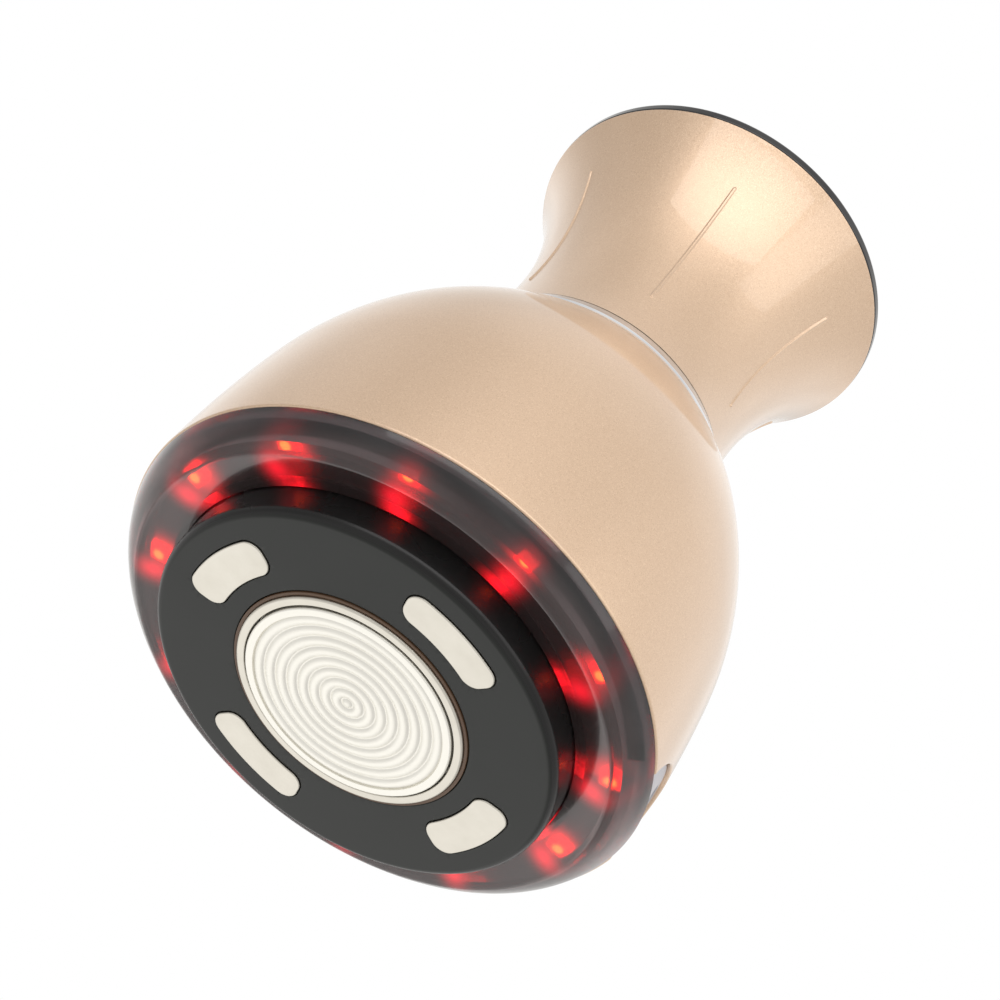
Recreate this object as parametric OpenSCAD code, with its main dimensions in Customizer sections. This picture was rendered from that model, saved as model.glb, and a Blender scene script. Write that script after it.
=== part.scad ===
// Hand-held cavitation slimming machine: a ridged ultrasonic plate and four contact pads
// in a black face, a smoked ring with red lamps, a rounded body and a flared handle.
// All lengths are in millimetres. Z = 0 is the flat land of the treatment plate, which
// points down; the axis of the body is the Z axis and the charging notch looks along +Y.

/* [Treatment plate] */

// Outer radius of the steel ring round the plate, as a share of the body's radius
plate_share = 0.4253; // [0.4103:0.005:0.4353]
// Width of the steel ring
plate_ring_width = 1.55; // [1.2:0.05:1.9]
// Dark gap between the ring and the ridged plate
plate_gap = 0.3; // [0.2:0.05:0.4]
// Number of concentric ridges
ridge_count = 8; // [6:1:10]
// Height of a ridge over the valleys
ridge_height = 0.35; // [0.2:0.05:0.5]
// Width of the flat land outside the ridges
plate_land = 1.4; // [1:0.1:2]

/* [Face] */

// Outer radius of the black face disc, as a share of the body's radius
face_share = 0.7531; // [0.7431:0.005:0.7631]
// Radius of the rounded edge of the face
face_edge = 1.5; // [0.8:0.1:1.9]
// How far the plate's land stands below the face
plate_stand = 1; // [0.7:0.1:1.4]
// Thickness of the face disc
face_thickness = 2.6; // [2.3:0.1:3]
// Inner radius of the contact pads, as a share of the face's radius
pad_share = 0.6832; // [0.6752:0.002:0.6932]
// Radial width of a contact pad, as a share of the face's radius
pad_width_share = 0.1791; // [0.1631:0.004:0.1871]
// Angle that one pad spans, degrees
pad_span = 37; // [30:1:42]
// Corner radius of a pad
pad_corner = 2.6; // [1.6:0.1:2.8]
// Direction of the first pad, degrees from +X
pad_turn = 23.6; // [19.6:0.5:27.6]

/* [Light ring] */

// Height of the crest of the smoked lens
lens_crest = 6; // [5.4:0.1:6.6]
// Rise of the lens from its crest in to the face disc
lens_rise = 1.1; // [0.7:0.1:1.4]
// Rounding of the crest
lens_fillet = 1.2; // [0.8:0.1:1.6]
// Number of red lamps
led_count = 12; // [8:1:12]
// Angle from the charging notch to the next lamp, degrees
led_turn = 20.8; // [18:0.4:20.8]

/* [Body] */

// Largest radius of the rounded body
bulb_radius = 48.2; // [47.8:0.1:49]
// Height of the lower rim of the body
bulb_rim = 11.7; // [11.3:0.1:12.3]
// Height of the largest radius
bulb_widest = 8.7; // [7.5:0.1:10]
// Radius of the nearly straight side
side_arc = 219.3; // [190:5:260]
// Height at which the shoulder begins
shoulder_start = 37.45; // [35:0.5:39]
// Height of the body's upper edge
neck_height = 75.4; // [74.4:0.1:76.4]
// Radius of the body's upper edge
neck_radius = 27.8; // [27.2:0.1:28.4]
// Wall thickness of the body
bulb_wall = 2.4; // [2:0.1:2.6]
// Radius of the round charging notch
notch_radius = 12.4; // [11.6:0.1:12.8]

/* [Charging inlet] */

// Height of the inlet's axis over the body's rim
inlet_rise = 4.3; // [4:0.1:4.6]
// Radius of the barrel bore
inlet_bore = 2.85; // [2.75:0.05:3]
// Radius of the centre pin
inlet_pin = 1; // [0.8:0.05:1.25]
// Depth of the barrel bore
inlet_depth = 9.9; // [9.5:0.1:10.5]

/* [Handle] */

// Height of the chrome neck ring
neck_ring_height = 3.4; // [2.8:0.1:4]
// Thickness of the dark gasket over the ring
gasket_height = 0.4; // [0.3:0.05:0.6]
// Length of the handle shell
handle_length = 49.2; // [47.2:0.2:51.2]
// Smallest radius of the handle
waist_radius = 23.65; // [23.15:0.1:24.45]
// Height of the waist over the handle's lower edge
waist_height = 14.8; // [13:0.2:16]
// Radius of the hollow curve of the handle
handle_arc = 62.8; // [60.8:0.2:64.8]
// Wall thickness of the handle
handle_wall = 2.2; // [1.8:0.1:2.4]
// Number of raised creases on the handle
crease_count = 6; // [4:1:10]
// Length of a crease
crease_length = 29.4; // [24:0.2:32]
// How far a crease stands out of the handle
crease_height = 0.4; // [0.3:0.05:0.6]
// Width of a crease, with round ends
crease_width = 0.8; // [0.5:0.05:1]

/* [Control panel] */

// How far the black panel's edge sits in from the handle's rim
panel_inset = 0.1; // [0.05:0.05:0.3]
// Height of the panel's edge over the handle's rim
panel_edge = 2; // [1.8:0.1:2.4]
// Depth of the dished top
dish_depth = 0.6; // [0.4:0.05:0.7]
// Radius of the power button
power_radius = 7; // [6:0.1:7.4]
// Radius of the three small buttons
key_radius = 4.6; // [4:0.1:5]
// Distance of the small buttons from the centre, as a share of the rim's radius
key_share = 0.5013; // [0.4963:0.0025:0.5063]
// Travel of a button
key_travel = 0.5; // [0.3:0.05:0.6]
// Gap between a button and the panel's hole
key_gap = 0.25; // [0.2:0.05:0.3]
// Running clearance of a plunger in its guide
guide_clearance = 0.05; // [0.03:0.01:0.08]
// Angle that the level window spans, degrees
window_span = 60; // [44:2:60]

/* [Hidden] */

$fn = 96;
smooth = 360;
over = 1;
fit = 0.05;
seam = 0.1;

// Directions
notch_turn = 90;
mode_turn = 270;
plus_turn = 0;
minus_turn = 180;
window_turn = 90;
panel_screw_turn = 45;
neck_screw_turn = 30;
crease_turn = 0.7;

// Screws: shank, head and head height
face_screw = [1.2, 2.3, 1.8];
clamp_screw = [1.1, 1.8, 1.3];
neck_screw = [1.2, 2.2, 1.8];
panel_screw = [1, 2, 1.5];

// Heights in the treatment head
face_back = plate_stand + face_thickness;
flange_thickness = 1.4;
flange_back = face_back + flange_thickness;
clamp_thickness = 1.8;
clamp_back = flange_back + clamp_thickness;
led_board_rise = 0.6;
led_board_seat = bulb_rim + led_board_rise;
led_board_thickness = 1.2;
chassis_rise = 2.9;
chassis_seat = bulb_rim + chassis_rise;
chassis_thickness = 2.6;
chassis_top = chassis_seat + chassis_thickness;

// Plate, ring and gasket
face_radius = face_share * bulb_radius;
plate_ring_radius = plate_share * bulb_radius;
plate_ring_inner = plate_ring_radius - plate_ring_width;
plate_radius = plate_ring_inner - plate_gap;
plate_ring_top = 0.3;
gasket_width = 0.6;
face_hole = plate_ring_radius + gasket_width + 2 * fit;
flange_radius = face_hole + 0.0606 * face_radius;
ridge_field = plate_radius - plate_land;
ridge_pitch = ridge_field / (ridge_count + 0.5);
ridge_half = 0.46 * ridge_pitch;
ridge_round = (ridge_half * ridge_half + ridge_height * ridge_height) / (2 * ridge_height);
land_round = 0.3;

// Pads
pad_count = 4;
pad_inner = pad_share * face_radius;
pad_width = pad_width_share * face_radius;
pad_outer = pad_inner + pad_width;
pad_rise = 0.3;
pad_top = plate_stand - pad_rise;
pad_thickness = 1.6;
pad_margin = 0.15;
pad_stud_radius = 1.4;
pad_stud_length = 4.2;
pad_middle = (pad_inner + pad_outer) / 2;

// Parts behind the face
skirt_wall = 2;
skirt_inner = face_radius - skirt_wall;
post_radius = 0.0716 * face_radius;
post_gap = 0.5;
post_circle = skirt_inner - post_radius - post_gap;
post_turn = pad_turn + 180 / pad_count;
post_screw_depth = 7;
clamp_boss = 0.0523 * face_radius;
clamp_screw_circle = flange_radius + 0.0661 * face_radius;
clamp_outer = clamp_screw_circle + clamp_boss;
clamp_screw_depth = 3;

// Lens
lens_wall = 2;
lens_gap = 0.25;
lens_inner = face_radius + lens_gap;
lens_span = bulb_radius - face_radius;
lens_outer_step = 0.3;
lens_outer = bulb_radius - lens_outer_step;
lens_top = bulb_rim - seam;
lens_in_height = lens_crest + lens_rise;
crest_radius = face_radius + 0.571 * lens_span;
knee_radius = face_radius + 0.857 * lens_span;
knee_height = lens_crest + 0.51 * (bulb_rim - lens_crest);
lens_lip = 1.6;
lens_lip_gap = 0.4;
lens_lip_outer = bulb_radius - bulb_wall - lens_lip_gap;
lens_lip_inner = lens_lip_outer - lens_lip;
lens_lip_top = chassis_seat - seam;
lens_cavity_inner = lens_inner + lens_lip;

// Lamps
led_circle = face_radius + 0.42 * lens_span;
led_size = 0.2857 * lens_span;
led_height = 1.5;

// Side of the body, set in by a distance
side_centre = bulb_radius - side_arc;
function side_radius(z, inset) = side_centre + sqrt(pow(side_arc - inset, 2) - pow(z - bulb_widest, 2));

// Charging notch and inlet
inlet_height = bulb_rim + inlet_rise;
notch_drop = 2.8;
notch_height = bulb_rim - notch_drop;
bezel_lap = 1.3;
bezel_gap = 0.15;
bezel_thickness = 2.2;
bezel_setback = 0.8;
bezel_foot = lens_top + seam;
bezel_radius = notch_radius + bezel_lap;
bezel_plug = notch_radius - bezel_gap;
bezel_top = notch_height + bezel_radius;
bezel_outer = side_radius(bezel_top, bulb_wall) - bezel_gap;
bezel_inner = bezel_outer - bezel_thickness;
bay_gap = 0.4;
bay_half = bezel_radius + bay_gap;
bay_front = bezel_inner - 3;
inlet_half = inlet_bore + 1.15;
inlet_front = bezel_inner - 0.5;
inlet_floor = 2;
inlet_tail = inlet_pin - 0.25;
tail_length = 2.5;
inlet_back = inlet_front - inlet_depth - inlet_floor;
inlet_bay = inlet_half + bay_gap;
plug_clearance = 0.4;

// Shape of the body: two tangent arcs, the upper one ending at the neck
shoulder_angle = asin((shoulder_start - bulb_widest) / side_arc);
shoulder_way = [cos(shoulder_angle), sin(shoulder_angle)];
shoulder_point = [side_centre, bulb_widest] + side_arc * shoulder_way;
neck_reach = [neck_radius, neck_height] - shoulder_point;
shoulder_arc = -(neck_reach * neck_reach) / (2 * (neck_reach * shoulder_way));
shoulder_centre = shoulder_point - shoulder_arc * shoulder_way;
function body_radius(z, inset) = shoulder_centre[0]
    + sqrt(pow(shoulder_arc - inset, 2) - pow(z - shoulder_centre[1], 2));

// Shape of the handle: one hollow arc
ring_top = neck_height + neck_ring_height;
handle_bottom = ring_top + gasket_height;
handle_top = handle_bottom + handle_length;
waist = handle_bottom + waist_height;
handle_centre = waist_radius + handle_arc;
function handle_radius(z, inset) = handle_centre - sqrt(pow(handle_arc + inset, 2) - pow(z - waist, 2));
handle_foot = handle_radius(handle_bottom, 0);
handle_rim = handle_radius(handle_top, 0);
neck_opening = neck_radius - 12.3;
neck_spigot = body_radius(neck_height, bulb_wall) - 0.3;
neck_spigot_length = 3;
handle_floor = 2.2;
neck_screw_circle = neck_opening + 3.7;
neck_screw_count = 3;
neck_screw_depth = 5.5;
crease_low = waist - 4.4;
crease_high = crease_low + crease_length;

// Panel
panel_radius = handle_rim - panel_inset;
panel_top = handle_top + panel_edge;
panel_centre = panel_top - dish_depth;
panel_wall = 1.8;
panel_under = panel_centre - panel_wall;
dish_border = 3.2;
dish_radius = panel_radius - dish_border;
dish_slope = 4;
dish_floor = dish_radius - dish_slope;
ledge_width = 3;
ledge_radius = handle_rim - ledge_width;
ledge_depth = 2.4;
ledge_height = handle_top - ledge_depth;
panel_skirt = ledge_radius - 0.15;
key_circle = key_share * handle_rim;
key_rise = 0.9;
key_flange = 1;
key_flange_width = 0.9;
key_top = panel_centre + key_rise;
key_foot = panel_under - fit - key_flange;
frame_gap = 0.5;
frame_thickness = 1.9;
frame_top = key_foot - key_travel - frame_gap;
frame_under = frame_top - frame_thickness;
board_gap = 0.65;
frame_radius = handle_radius(frame_under, handle_wall) - board_gap;
stem_radius = 1.8;
control_depth = 4.8;
control_thickness = 1.6;
control_top = frame_under - control_depth;
control_under = control_top - control_thickness;
control_radius = handle_radius(control_under, handle_wall) - board_gap;
switch_size = 6;
switch_height = 3.1;
switch_well = 0.5;
stem_foot = control_top + switch_height - switch_well;
panel_screw_circle = 0.634 * handle_rim;
panel_screw_count = 4;
panel_post = 2.5;
window_circle = 0.6665 * handle_rim;
window_half = 1.4;
window_top = panel_centre - seam;
level_count = 5;

// Places of the four keys: distance from the centre and direction
KEYS = [[0, 0], [key_circle, mode_turn], [key_circle, plus_turn], [key_circle, minus_turn]];
mark_depth = 0.3;
sign_bar = [3.2, 0.6];

// Transducer stack
stack_radius = 15;
clamp_inner = stack_radius + 2;
cup_inner = stack_radius + 4;
front_length = 17;
piezo_height = 4;
piezo_bore = 6.5;
contact_height = 0.3;
back_length = 15.4;
stud_radius = 3.9;
front_top = flange_back + front_length;
piezo_two = front_top + piezo_height + contact_height;
back_foot = piezo_two + piezo_height + contact_height;
back_top = back_foot + back_length;
stud_grip = 8;

// Main board in the handle and what stands on it
board_rise = 5;
board_foot = handle_bottom + board_rise;
board_length = 28;
board_back = -6;
board_thickness = 1.6;
board_front = board_back + board_thickness;
board_side_gap = 3.6;
board_half = waist_radius - handle_wall - board_side_gap;
transformer_foot = board_foot + 13;
core_size = [20, 10.8, 13];
core_stand = 2.2;
core_leg = 3.5;
coil_width = 2.7;
coil_gap = 0.15;
can_radius = 4;
can_height = 10;
can_place = 9;
transistor_size = [10, 4.4, 14];
transistor_place = 6.5;
sink_width = 24;
sink_base = 1.5;
sink_depth = 5;
sink_height = 18;

// Colours of the pieces
steel_colour = [0.82, 0.80, 0.77];
black_colour = [0.10, 0.10, 0.11];
face_colour = [0.24, 0.25, 0.24];
smoke_colour = [0.20, 0.16, 0.18];
red_colour = [0.90, 0.05, 0.05];
gold_colour = [0.87, 0.75, 0.62];
chrome_colour = [0.85, 0.86, 0.88];
board_colour = [0.10, 0.35, 0.20];
grey_colour = [0.70, 0.69, 0.74];
copper_colour = [0.80, 0.52, 0.30];
white_colour = [0.92, 0.92, 0.90];

// Flat ring of a given height, standing on its lower face
module ring(outer, inner, height) {
    difference() {
        cylinder(r = outer, h = height);
        translate([0, 0, -over])
            cylinder(r = inner, h = height + 2 * over);
    }
}

// Rectangle in the plane of a turned profile
module span(r0, r1, z0, z1) {
    translate([r0, z0])
        square([r1 - r0, z1 - z0]);
}

// What a rounded outer corner takes away; dr and dz point out of the piece
module corner(r, z, radius, dr, dz) {
    difference() {
        translate([dr > 0 ? r - radius : r - over, dz > 0 ? z - radius : z - over])
            square(radius + over);
        translate([r - dr * radius, z - dz * radius])
            circle(r = radius);
    }
}

// Copies set round the axis
module around(count, radius, first) {
    for (i = [0 : count - 1])
        rotate([0, 0, first + i * 360 / count])
            translate([radius, 0, 0])
                children();
}

// Part of a flat ring between two directions
module sector(inner, outer, half) {
    reach = 2 * outer;
    intersection() {
        difference() {
            circle(r = outer, $fn = smooth);
            circle(r = inner, $fn = smooth);
        }
        polygon([
            [0, 0],
            [reach * cos(half), -reach * sin(half)],
            [reach, 0],
            [reach * cos(half), reach * sin(half)]
        ]);
    }
}

// Outline of a pad: a ring sector with rounded corners, grown by a margin
module pad_outline(grow) {
    inner = pad_inner - grow;
    outer = pad_outer + grow;
    corner_r = pad_corner + grow;
    half = pad_span / 2 + grow / pad_middle * 180 / PI;
    in_centre = inner + corner_r;
    out_centre = outer - corner_r;
    in_turn = half - asin(corner_r / in_centre);
    out_turn = half - asin(corner_r / out_centre);
    sector(inner, outer, in_turn);
    sector(in_centre, outer, out_turn);
    for (side = [-1, 1]) {
        in_point = [in_centre * cos(in_turn), side * in_centre * sin(in_turn)];
        out_point = [out_centre * cos(out_turn), side * out_centre * sin(out_turn)];
        push = corner_r * [-sin(half), side * cos(half)];
        translate(in_point)
            circle(r = corner_r);
        translate(out_point)
            circle(r = corner_r);
        polygon([in_point, in_point + push, out_point + push, out_point]);
    }
}

// Pan-head screw pointing down, with its seat at Z = 0
module screw(size, length) {
    shank = size[0];
    head = size[1];
    head_height = size[2];
    slot_depth = head_height / 2;
    slot_width = 0.4 * shank;
    difference() {
        union() {
            translate([0, 0, -length])
                cylinder(r = shank, h = length);
            cylinder(r = head, h = head_height);
        }
        for (turn = [0, 90])
            rotate([0, 0, turn])
                translate([-head * 0.6, -slot_width / 2, head_height - slot_depth])
                    cube([head * 1.2, slot_width, slot_depth + over]);
    }
}

// Profile of the body from one height to another, set in by a distance
module body_region(inset, low, high) {
    change = bulb_widest + (side_arc - inset) * sin(shoulder_angle);
    intersection() {
        translate([side_centre, bulb_widest])
            circle(r = side_arc - inset, $fn = 4 * smooth);
        span(0, 2 * bulb_radius, low, change);
    }
    intersection() {
        translate(shoulder_centre)
            circle(r = shoulder_arc - inset, $fn = smooth);
        span(0, 2 * bulb_radius, change, high);
    }
}

// Profile of the handle from one height to another, set in by a distance
module handle_region(inset, low, high) {
    difference() {
        span(0, handle_centre, low, high);
        translate([handle_centre, waist])
            circle(r = handle_arc + inset, $fn = smooth);
    }
}

module treatment_plate() {
    color(steel_colour)
    rotate_extrude($fn = smooth) {
        difference() {
            span(0, plate_radius, 0, face_back);
            span(-over, ridge_field, -over, ridge_height);
            corner(plate_radius, 0, land_round, 1, -1);
        }
        intersection() {
            span(0, plate_radius, 0, face_back);
            for (i = [0 : ridge_count])
                translate([i * ridge_pitch, ridge_round])
                    circle(r = ridge_round);
        }
        span(0, flange_radius, face_back, flange_back);
    }
}

module plate_ring() {
    ring_round = 0.4;
    color(steel_colour)
    rotate_extrude($fn = smooth)
        difference() {
            span(plate_ring_inner, plate_ring_radius, plate_ring_top, face_back);
            corner(plate_ring_radius, plate_ring_top, ring_round, 1, -1);
            corner(plate_ring_inner, plate_ring_top, ring_round / 2, -1, -1);
        }
}

module plate_gasket() {
    gasket_foot = plate_stand - 0.2;
    color(copper_colour)
    translate([0, 0, gasket_foot])
        ring(face_hole - fit, plate_ring_radius + fit, face_back - gasket_foot);
}

module face_disc() {
    rib_count = 8;
    rib_thickness = 1.2;
    rib_height = 3;
    rib_gap = 0.3;
    color(face_colour)
    difference() {
        union() {
            rotate_extrude($fn = smooth)
                difference() {
                    span(face_hole, face_radius, plate_stand, led_board_seat);
                    span(0, skirt_inner, face_back, led_board_seat + over);
                    corner(face_radius, plate_stand, face_edge, 1, -1);
                    corner(face_hole, plate_stand, land_round, -1, -1);
                }
            around(pad_count, post_circle, post_turn)
                translate([0, 0, face_back - fit])
                    cylinder(r = post_radius, h = chassis_seat - face_back + fit);
            around(pad_count, clamp_screw_circle, post_turn)
                translate([0, 0, face_back - fit])
                    cylinder(r = clamp_boss, h = flange_thickness + fit);
            around(rib_count, clamp_outer + rib_gap, pad_turn + 180 / rib_count)
                translate([0, -rib_thickness / 2, face_back - fit])
                    cube([skirt_inner - clamp_outer, rib_thickness, rib_height]);
        }
        around(pad_count, 0, pad_turn)
            translate([0, 0, plate_stand - over])
                linear_extrude(height = pad_top + pad_thickness - plate_stand + over)
                    pad_outline(pad_margin);
        around(pad_count, pad_middle, pad_turn)
            cylinder(r = pad_stud_radius + fit, h = face_back + over);
        around(pad_count, clamp_screw_circle, post_turn)
            translate([0, 0, flange_back - clamp_screw_depth])
                cylinder(r = clamp_screw[0] + fit, h = clamp_screw_depth + over);
        around(pad_count, post_circle, post_turn)
            translate([0, 0, chassis_seat - post_screw_depth])
                cylinder(r = face_screw[0] + fit, h = post_screw_depth + over);
        translate([-inlet_bay, 0, lens_top])
            cube([2 * inlet_bay, bulb_radius, chassis_seat - lens_top]);
    }
}

module pad(index) {
    color(steel_colour)
    rotate([0, 0, pad_turn + index * 360 / pad_count]) {
        translate([0, 0, pad_top])
            linear_extrude(height = pad_thickness)
                pad_outline(0);
        translate([pad_middle, 0, pad_top + pad_thickness - fit])
            cylinder(r = pad_stud_radius, h = pad_stud_length + fit);
    }
}

module pad_1() {
    pad(0);
}

module pad_2() {
    pad(1);
}

module pad_3() {
    pad(2);
}

module pad_4() {
    pad(3);
}

module pad_contacts() {
    washer = pad_stud_radius + 1;
    sheet = 0.4;
    stand = 1.1;
    tab = [3.2, 2, sheet];
    tab_tip = 3.8;
    color(copper_colour)
    around(pad_count, pad_middle, pad_turn)
        translate([0, 0, face_back + stand])
            difference() {
                union() {
                    cylinder(r = washer, h = sheet);
                    translate([-tab_tip, -tab[1] / 2, 0])
                        cube(tab);
                }
                translate([0, 0, -over])
                    cylinder(r = pad_stud_radius + fit, h = sheet + 2 * over);
            }
}

module clamp_ring() {
    color(chrome_colour)
    difference() {
        translate([0, 0, flange_back])
            union() {
                ring(flange_radius, clamp_inner, clamp_thickness);
                around(pad_count, clamp_screw_circle, post_turn)
                    cylinder(r = clamp_boss, h = clamp_thickness);
                around(pad_count, flange_radius - over, post_turn)
                    translate([0, -clamp_boss, 0])
                        cube([clamp_screw_circle - flange_radius + over, 2 * clamp_boss, clamp_thickness]);
            }
        around(pad_count, clamp_screw_circle, post_turn)
            cylinder(r = clamp_screw[0] + fit, h = clamp_back + over);
    }
}

module clamp_screws() {
    color(steel_colour)
    around(pad_count, clamp_screw_circle, post_turn)
        translate([0, 0, clamp_back])
            screw(clamp_screw, clamp_thickness + clamp_screw_depth - 0.4);
}

module transducer_front() {
    edge = 0.8;
    floor_thickness = 3;
    color(grey_colour)
    translate([0, 0, flange_back])
        difference() {
            rotate_extrude()
                difference() {
                    span(0, stack_radius, 0, front_length);
                    corner(stack_radius, front_length, edge, 1, 1);
                }
            translate([0, 0, floor_thickness])
                cylinder(r = stud_radius + fit, h = front_length);
        }
}

module piezo(foot) {
    step = 0.3;
    color(white_colour)
    translate([0, 0, foot])
        ring(stack_radius - step, piezo_bore, piezo_height);
}

module piezo_front() {
    piezo(front_top);
}

module piezo_back() {
    piezo(piezo_two);
}

module transducer_contacts() {
    step = 0.5;
    tab_turn = 200;
    tab_width = 5;
    tab_reach = stack_radius + 3;
    hole_radius = 0.8;
    hole_inset = 1.5;
    color(copper_colour)
    for (foot = [front_top + piezo_height, piezo_two + piezo_height])
        translate([0, 0, foot])
            difference() {
                union() {
                    cylinder(r = stack_radius - step, h = contact_height);
                    rotate([0, 0, tab_turn])
                        translate([0, -tab_width / 2, 0])
                            cube([tab_reach, tab_width, contact_height]);
                }
                translate([0, 0, -over])
                    cylinder(r = piezo_bore, h = contact_height + 2 * over);
                rotate([0, 0, tab_turn])
                    translate([tab_reach - hole_inset, 0, -over])
                        cylinder(r = hole_radius, h = contact_height + 2 * over);
            }
}

module transducer_back() {
    edge = 1.2;
    foot_edge = 0.4;
    bore_gap = 0.3;
    color(steel_colour)
    translate([0, 0, back_foot])
        difference() {
            rotate_extrude()
                difference() {
                    span(0, stack_radius, 0, back_length);
                    corner(stack_radius, back_length, edge, 1, 1);
                    corner(stack_radius, 0, foot_edge, 1, -1);
                }
            translate([0, 0, -over])
                cylinder(r = stud_radius + bore_gap, h = back_length + 2 * over);
        }
}

module transducer_bolt() {
    bolt_head = 6.5;
    head_height = 6;
    socket = 3.4;
    socket_depth = 3;
    color(chrome_colour)
    difference() {
        union() {
            translate([0, 0, front_top - stud_grip])
                cylinder(r = stud_radius, h = back_top - front_top + stud_grip);
            translate([0, 0, back_top])
                cylinder(r = bolt_head, h = head_height);
        }
        translate([0, 0, back_top + head_height - socket_depth])
            cylinder(r = socket, h = socket_depth + over, $fn = 6);
    }
}

// Centre of the circle through three points
function circle_centre(a, b, c) =
    let (
        ab = b - a,
        ac = c - a,
        d = 2 * (ab[0] * ac[1] - ab[1] * ac[0]),
        u = (ac[1] * (ab * ab) - ab[1] * (ac * ac)) / d,
        v = (ab[0] * (ac * ac) - ac[0] * (ab * ab)) / d
    )
    a + [u, v];

// Profile of the lens: a shallow inner cone and a full outer slope
lens_start = [lens_inner, lens_in_height];
lens_peak = [crest_radius, lens_crest];
slope_centre = circle_centre(
    lens_peak + [0.5, 0.25],
    [knee_radius, knee_height],
    [lens_outer, lens_top]
);
slope_radius = norm([lens_outer, lens_top] - slope_centre);
cone_way = (lens_peak - lens_start) / norm(lens_peak - lens_start);
cone_up = [-cone_way[1], cone_way[0]];

// Fillet circle that touches the cone and the slope from inside
fillet_base = lens_start + lens_fillet * cone_up;
fillet_b = (fillet_base - slope_centre) * cone_way;
fillet_c = (fillet_base - slope_centre) * (fillet_base - slope_centre)
    - pow(slope_radius - lens_fillet, 2);
fillet_centre = fillet_base + cone_way * (-fillet_b + sqrt(fillet_b * fillet_b - fillet_c));
fillet_way = (fillet_centre - slope_centre) / norm(fillet_centre - slope_centre);

module lens_region() {
    reach = 2 * lens_fillet;
    wedge = [
        fillet_centre,
        fillet_centre - reach * cone_up,
        fillet_centre + 2 * reach * (fillet_way - cone_up),
        fillet_centre + reach * fillet_way
    ];
    difference() {
        intersection() {
            translate(slope_centre)
                circle(r = slope_radius, $fn = smooth);
            polygon([
                lens_start,
                lens_start + 2 * lens_span * cone_way,
                [2 * bulb_radius, lens_top],
                [lens_inner, lens_top]
            ]);
        }
        difference() {
            polygon(wedge);
            translate(fillet_centre)
                circle(r = lens_fillet);
        }
    }
}

module led_lens() {
    color(smoke_colour)
    difference() {
        rotate_extrude($fn = smooth)
            difference() {
                union() {
                    lens_region();
                    span(lens_inner, lens_cavity_inner, lens_in_height + over, led_board_seat);
                    span(lens_lip_inner, lens_lip_outer, lens_top - over, lens_lip_top);
                }
                intersection() {
                    translate(slope_centre)
                        circle(r = slope_radius - lens_wall, $fn = smooth);
                    polygon([
                        [lens_cavity_inner, lens_in_height + lens_wall],
                        [lens_lip_inner, lens_crest + lens_wall],
                        [lens_lip_inner, lens_lip_top + over],
                        [lens_cavity_inner, lens_lip_top + over]
                    ]);
                }
                span(lens_cavity_inner, lens_lip_inner, lens_top - over, lens_lip_top + over);
            }
        translate([-bay_half, 0, lens_top])
            cube([2 * bay_half, bulb_radius, chassis_seat]);
    }
}

module led_board() {
    board_inner = post_circle + post_radius + 0.2;
    board_outer = lens_lip_inner - 0.7;
    bezel_room = 0.2;
    color(board_colour)
    translate([0, 0, led_board_seat])
        difference() {
            ring(board_outer, board_inner, led_board_thickness);
            translate([-inlet_bay, 0, -over])
                cube([2 * inlet_bay, bulb_radius, led_board_thickness + 2 * over]);
            intersection() {
                translate([0, 0, -over])
                    ring(bulb_radius, bezel_inner - bezel_room, led_board_thickness + 2 * over);
                translate([-bay_half, 0, -over])
                    cube([2 * bay_half, bulb_radius, led_board_thickness + 2 * over]);
            }
        }
}

module red_leds() {
    base = 1;
    dome = 0.41 * led_size;
    color(red_colour)
    around(led_count, led_circle, notch_turn + led_turn)
        translate([0, 0, led_board_seat]) {
            translate([-led_size / 2, -led_size / 2, -base])
                cube([led_size, led_size, base]);
            translate([0, 0, -led_height])
                cylinder(r = dome, h = led_height - base + fit);
        }
}

module chassis() {
    wall = 1.6;
    outer = bulb_radius - bulb_wall - 0.9;
    cup_height = 16;
    cup_top = chassis_top + cup_height;
    outer_height = 5.5;
    outer_top = chassis_top + outer_height;
    web_turn = 12;
    bay = inlet_half + fit;
    tail_slot = inlet_tail + plug_clearance;
    color(black_colour)
    difference() {
        union() {
            rotate_extrude($fn = smooth) {
                span(cup_inner, outer, chassis_seat, chassis_top);
                span(cup_inner, cup_inner + wall, chassis_top - fit, cup_top);
                span(outer - wall, outer, chassis_top - fit, outer_top);
            }
            for (side = [-web_turn, web_turn])
                around(pad_count, 0, pad_turn + side)
                    rotate([90, 0, 0])
                        translate([0, 0, -wall / 2])
                            linear_extrude(height = wall)
                                polygon([
                                    [cup_inner + wall / 2, chassis_top - fit],
                                    [outer - wall / 2, chassis_top - fit],
                                    [outer - wall / 2, chassis_top + 0.7 * outer_height],
                                    [0.66 * cup_inner + 0.34 * outer, chassis_top + 0.56 * cup_height],
                                    [cup_inner + wall / 2, chassis_top + 0.87 * cup_height]
                                ]);
        }
        translate([-bay_half, bay_front, chassis_seat - over])
            cube([2 * bay_half, bulb_radius, 2 * bulb_radius]);
        translate([-bay, inlet_back - fit, chassis_seat - over])
            cube([2 * bay, bulb_radius, inlet_height + inlet_half + fit - chassis_seat + over]);
        translate([-tail_slot, inlet_back - tail_length - tail_slot, chassis_seat - over])
            cube([2 * tail_slot, tail_length + tail_slot, inlet_height]);
        around(pad_count, post_circle, post_turn)
            translate([0, 0, chassis_seat - over])
                cylinder(r = face_screw[0] + fit, h = chassis_thickness + 2 * over);
    }
}

module face_screws() {
    color(steel_colour)
    around(pad_count, post_circle, post_turn)
        translate([0, 0, chassis_top])
            screw(face_screw, chassis_thickness + post_screw_depth - 1);
}

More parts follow.
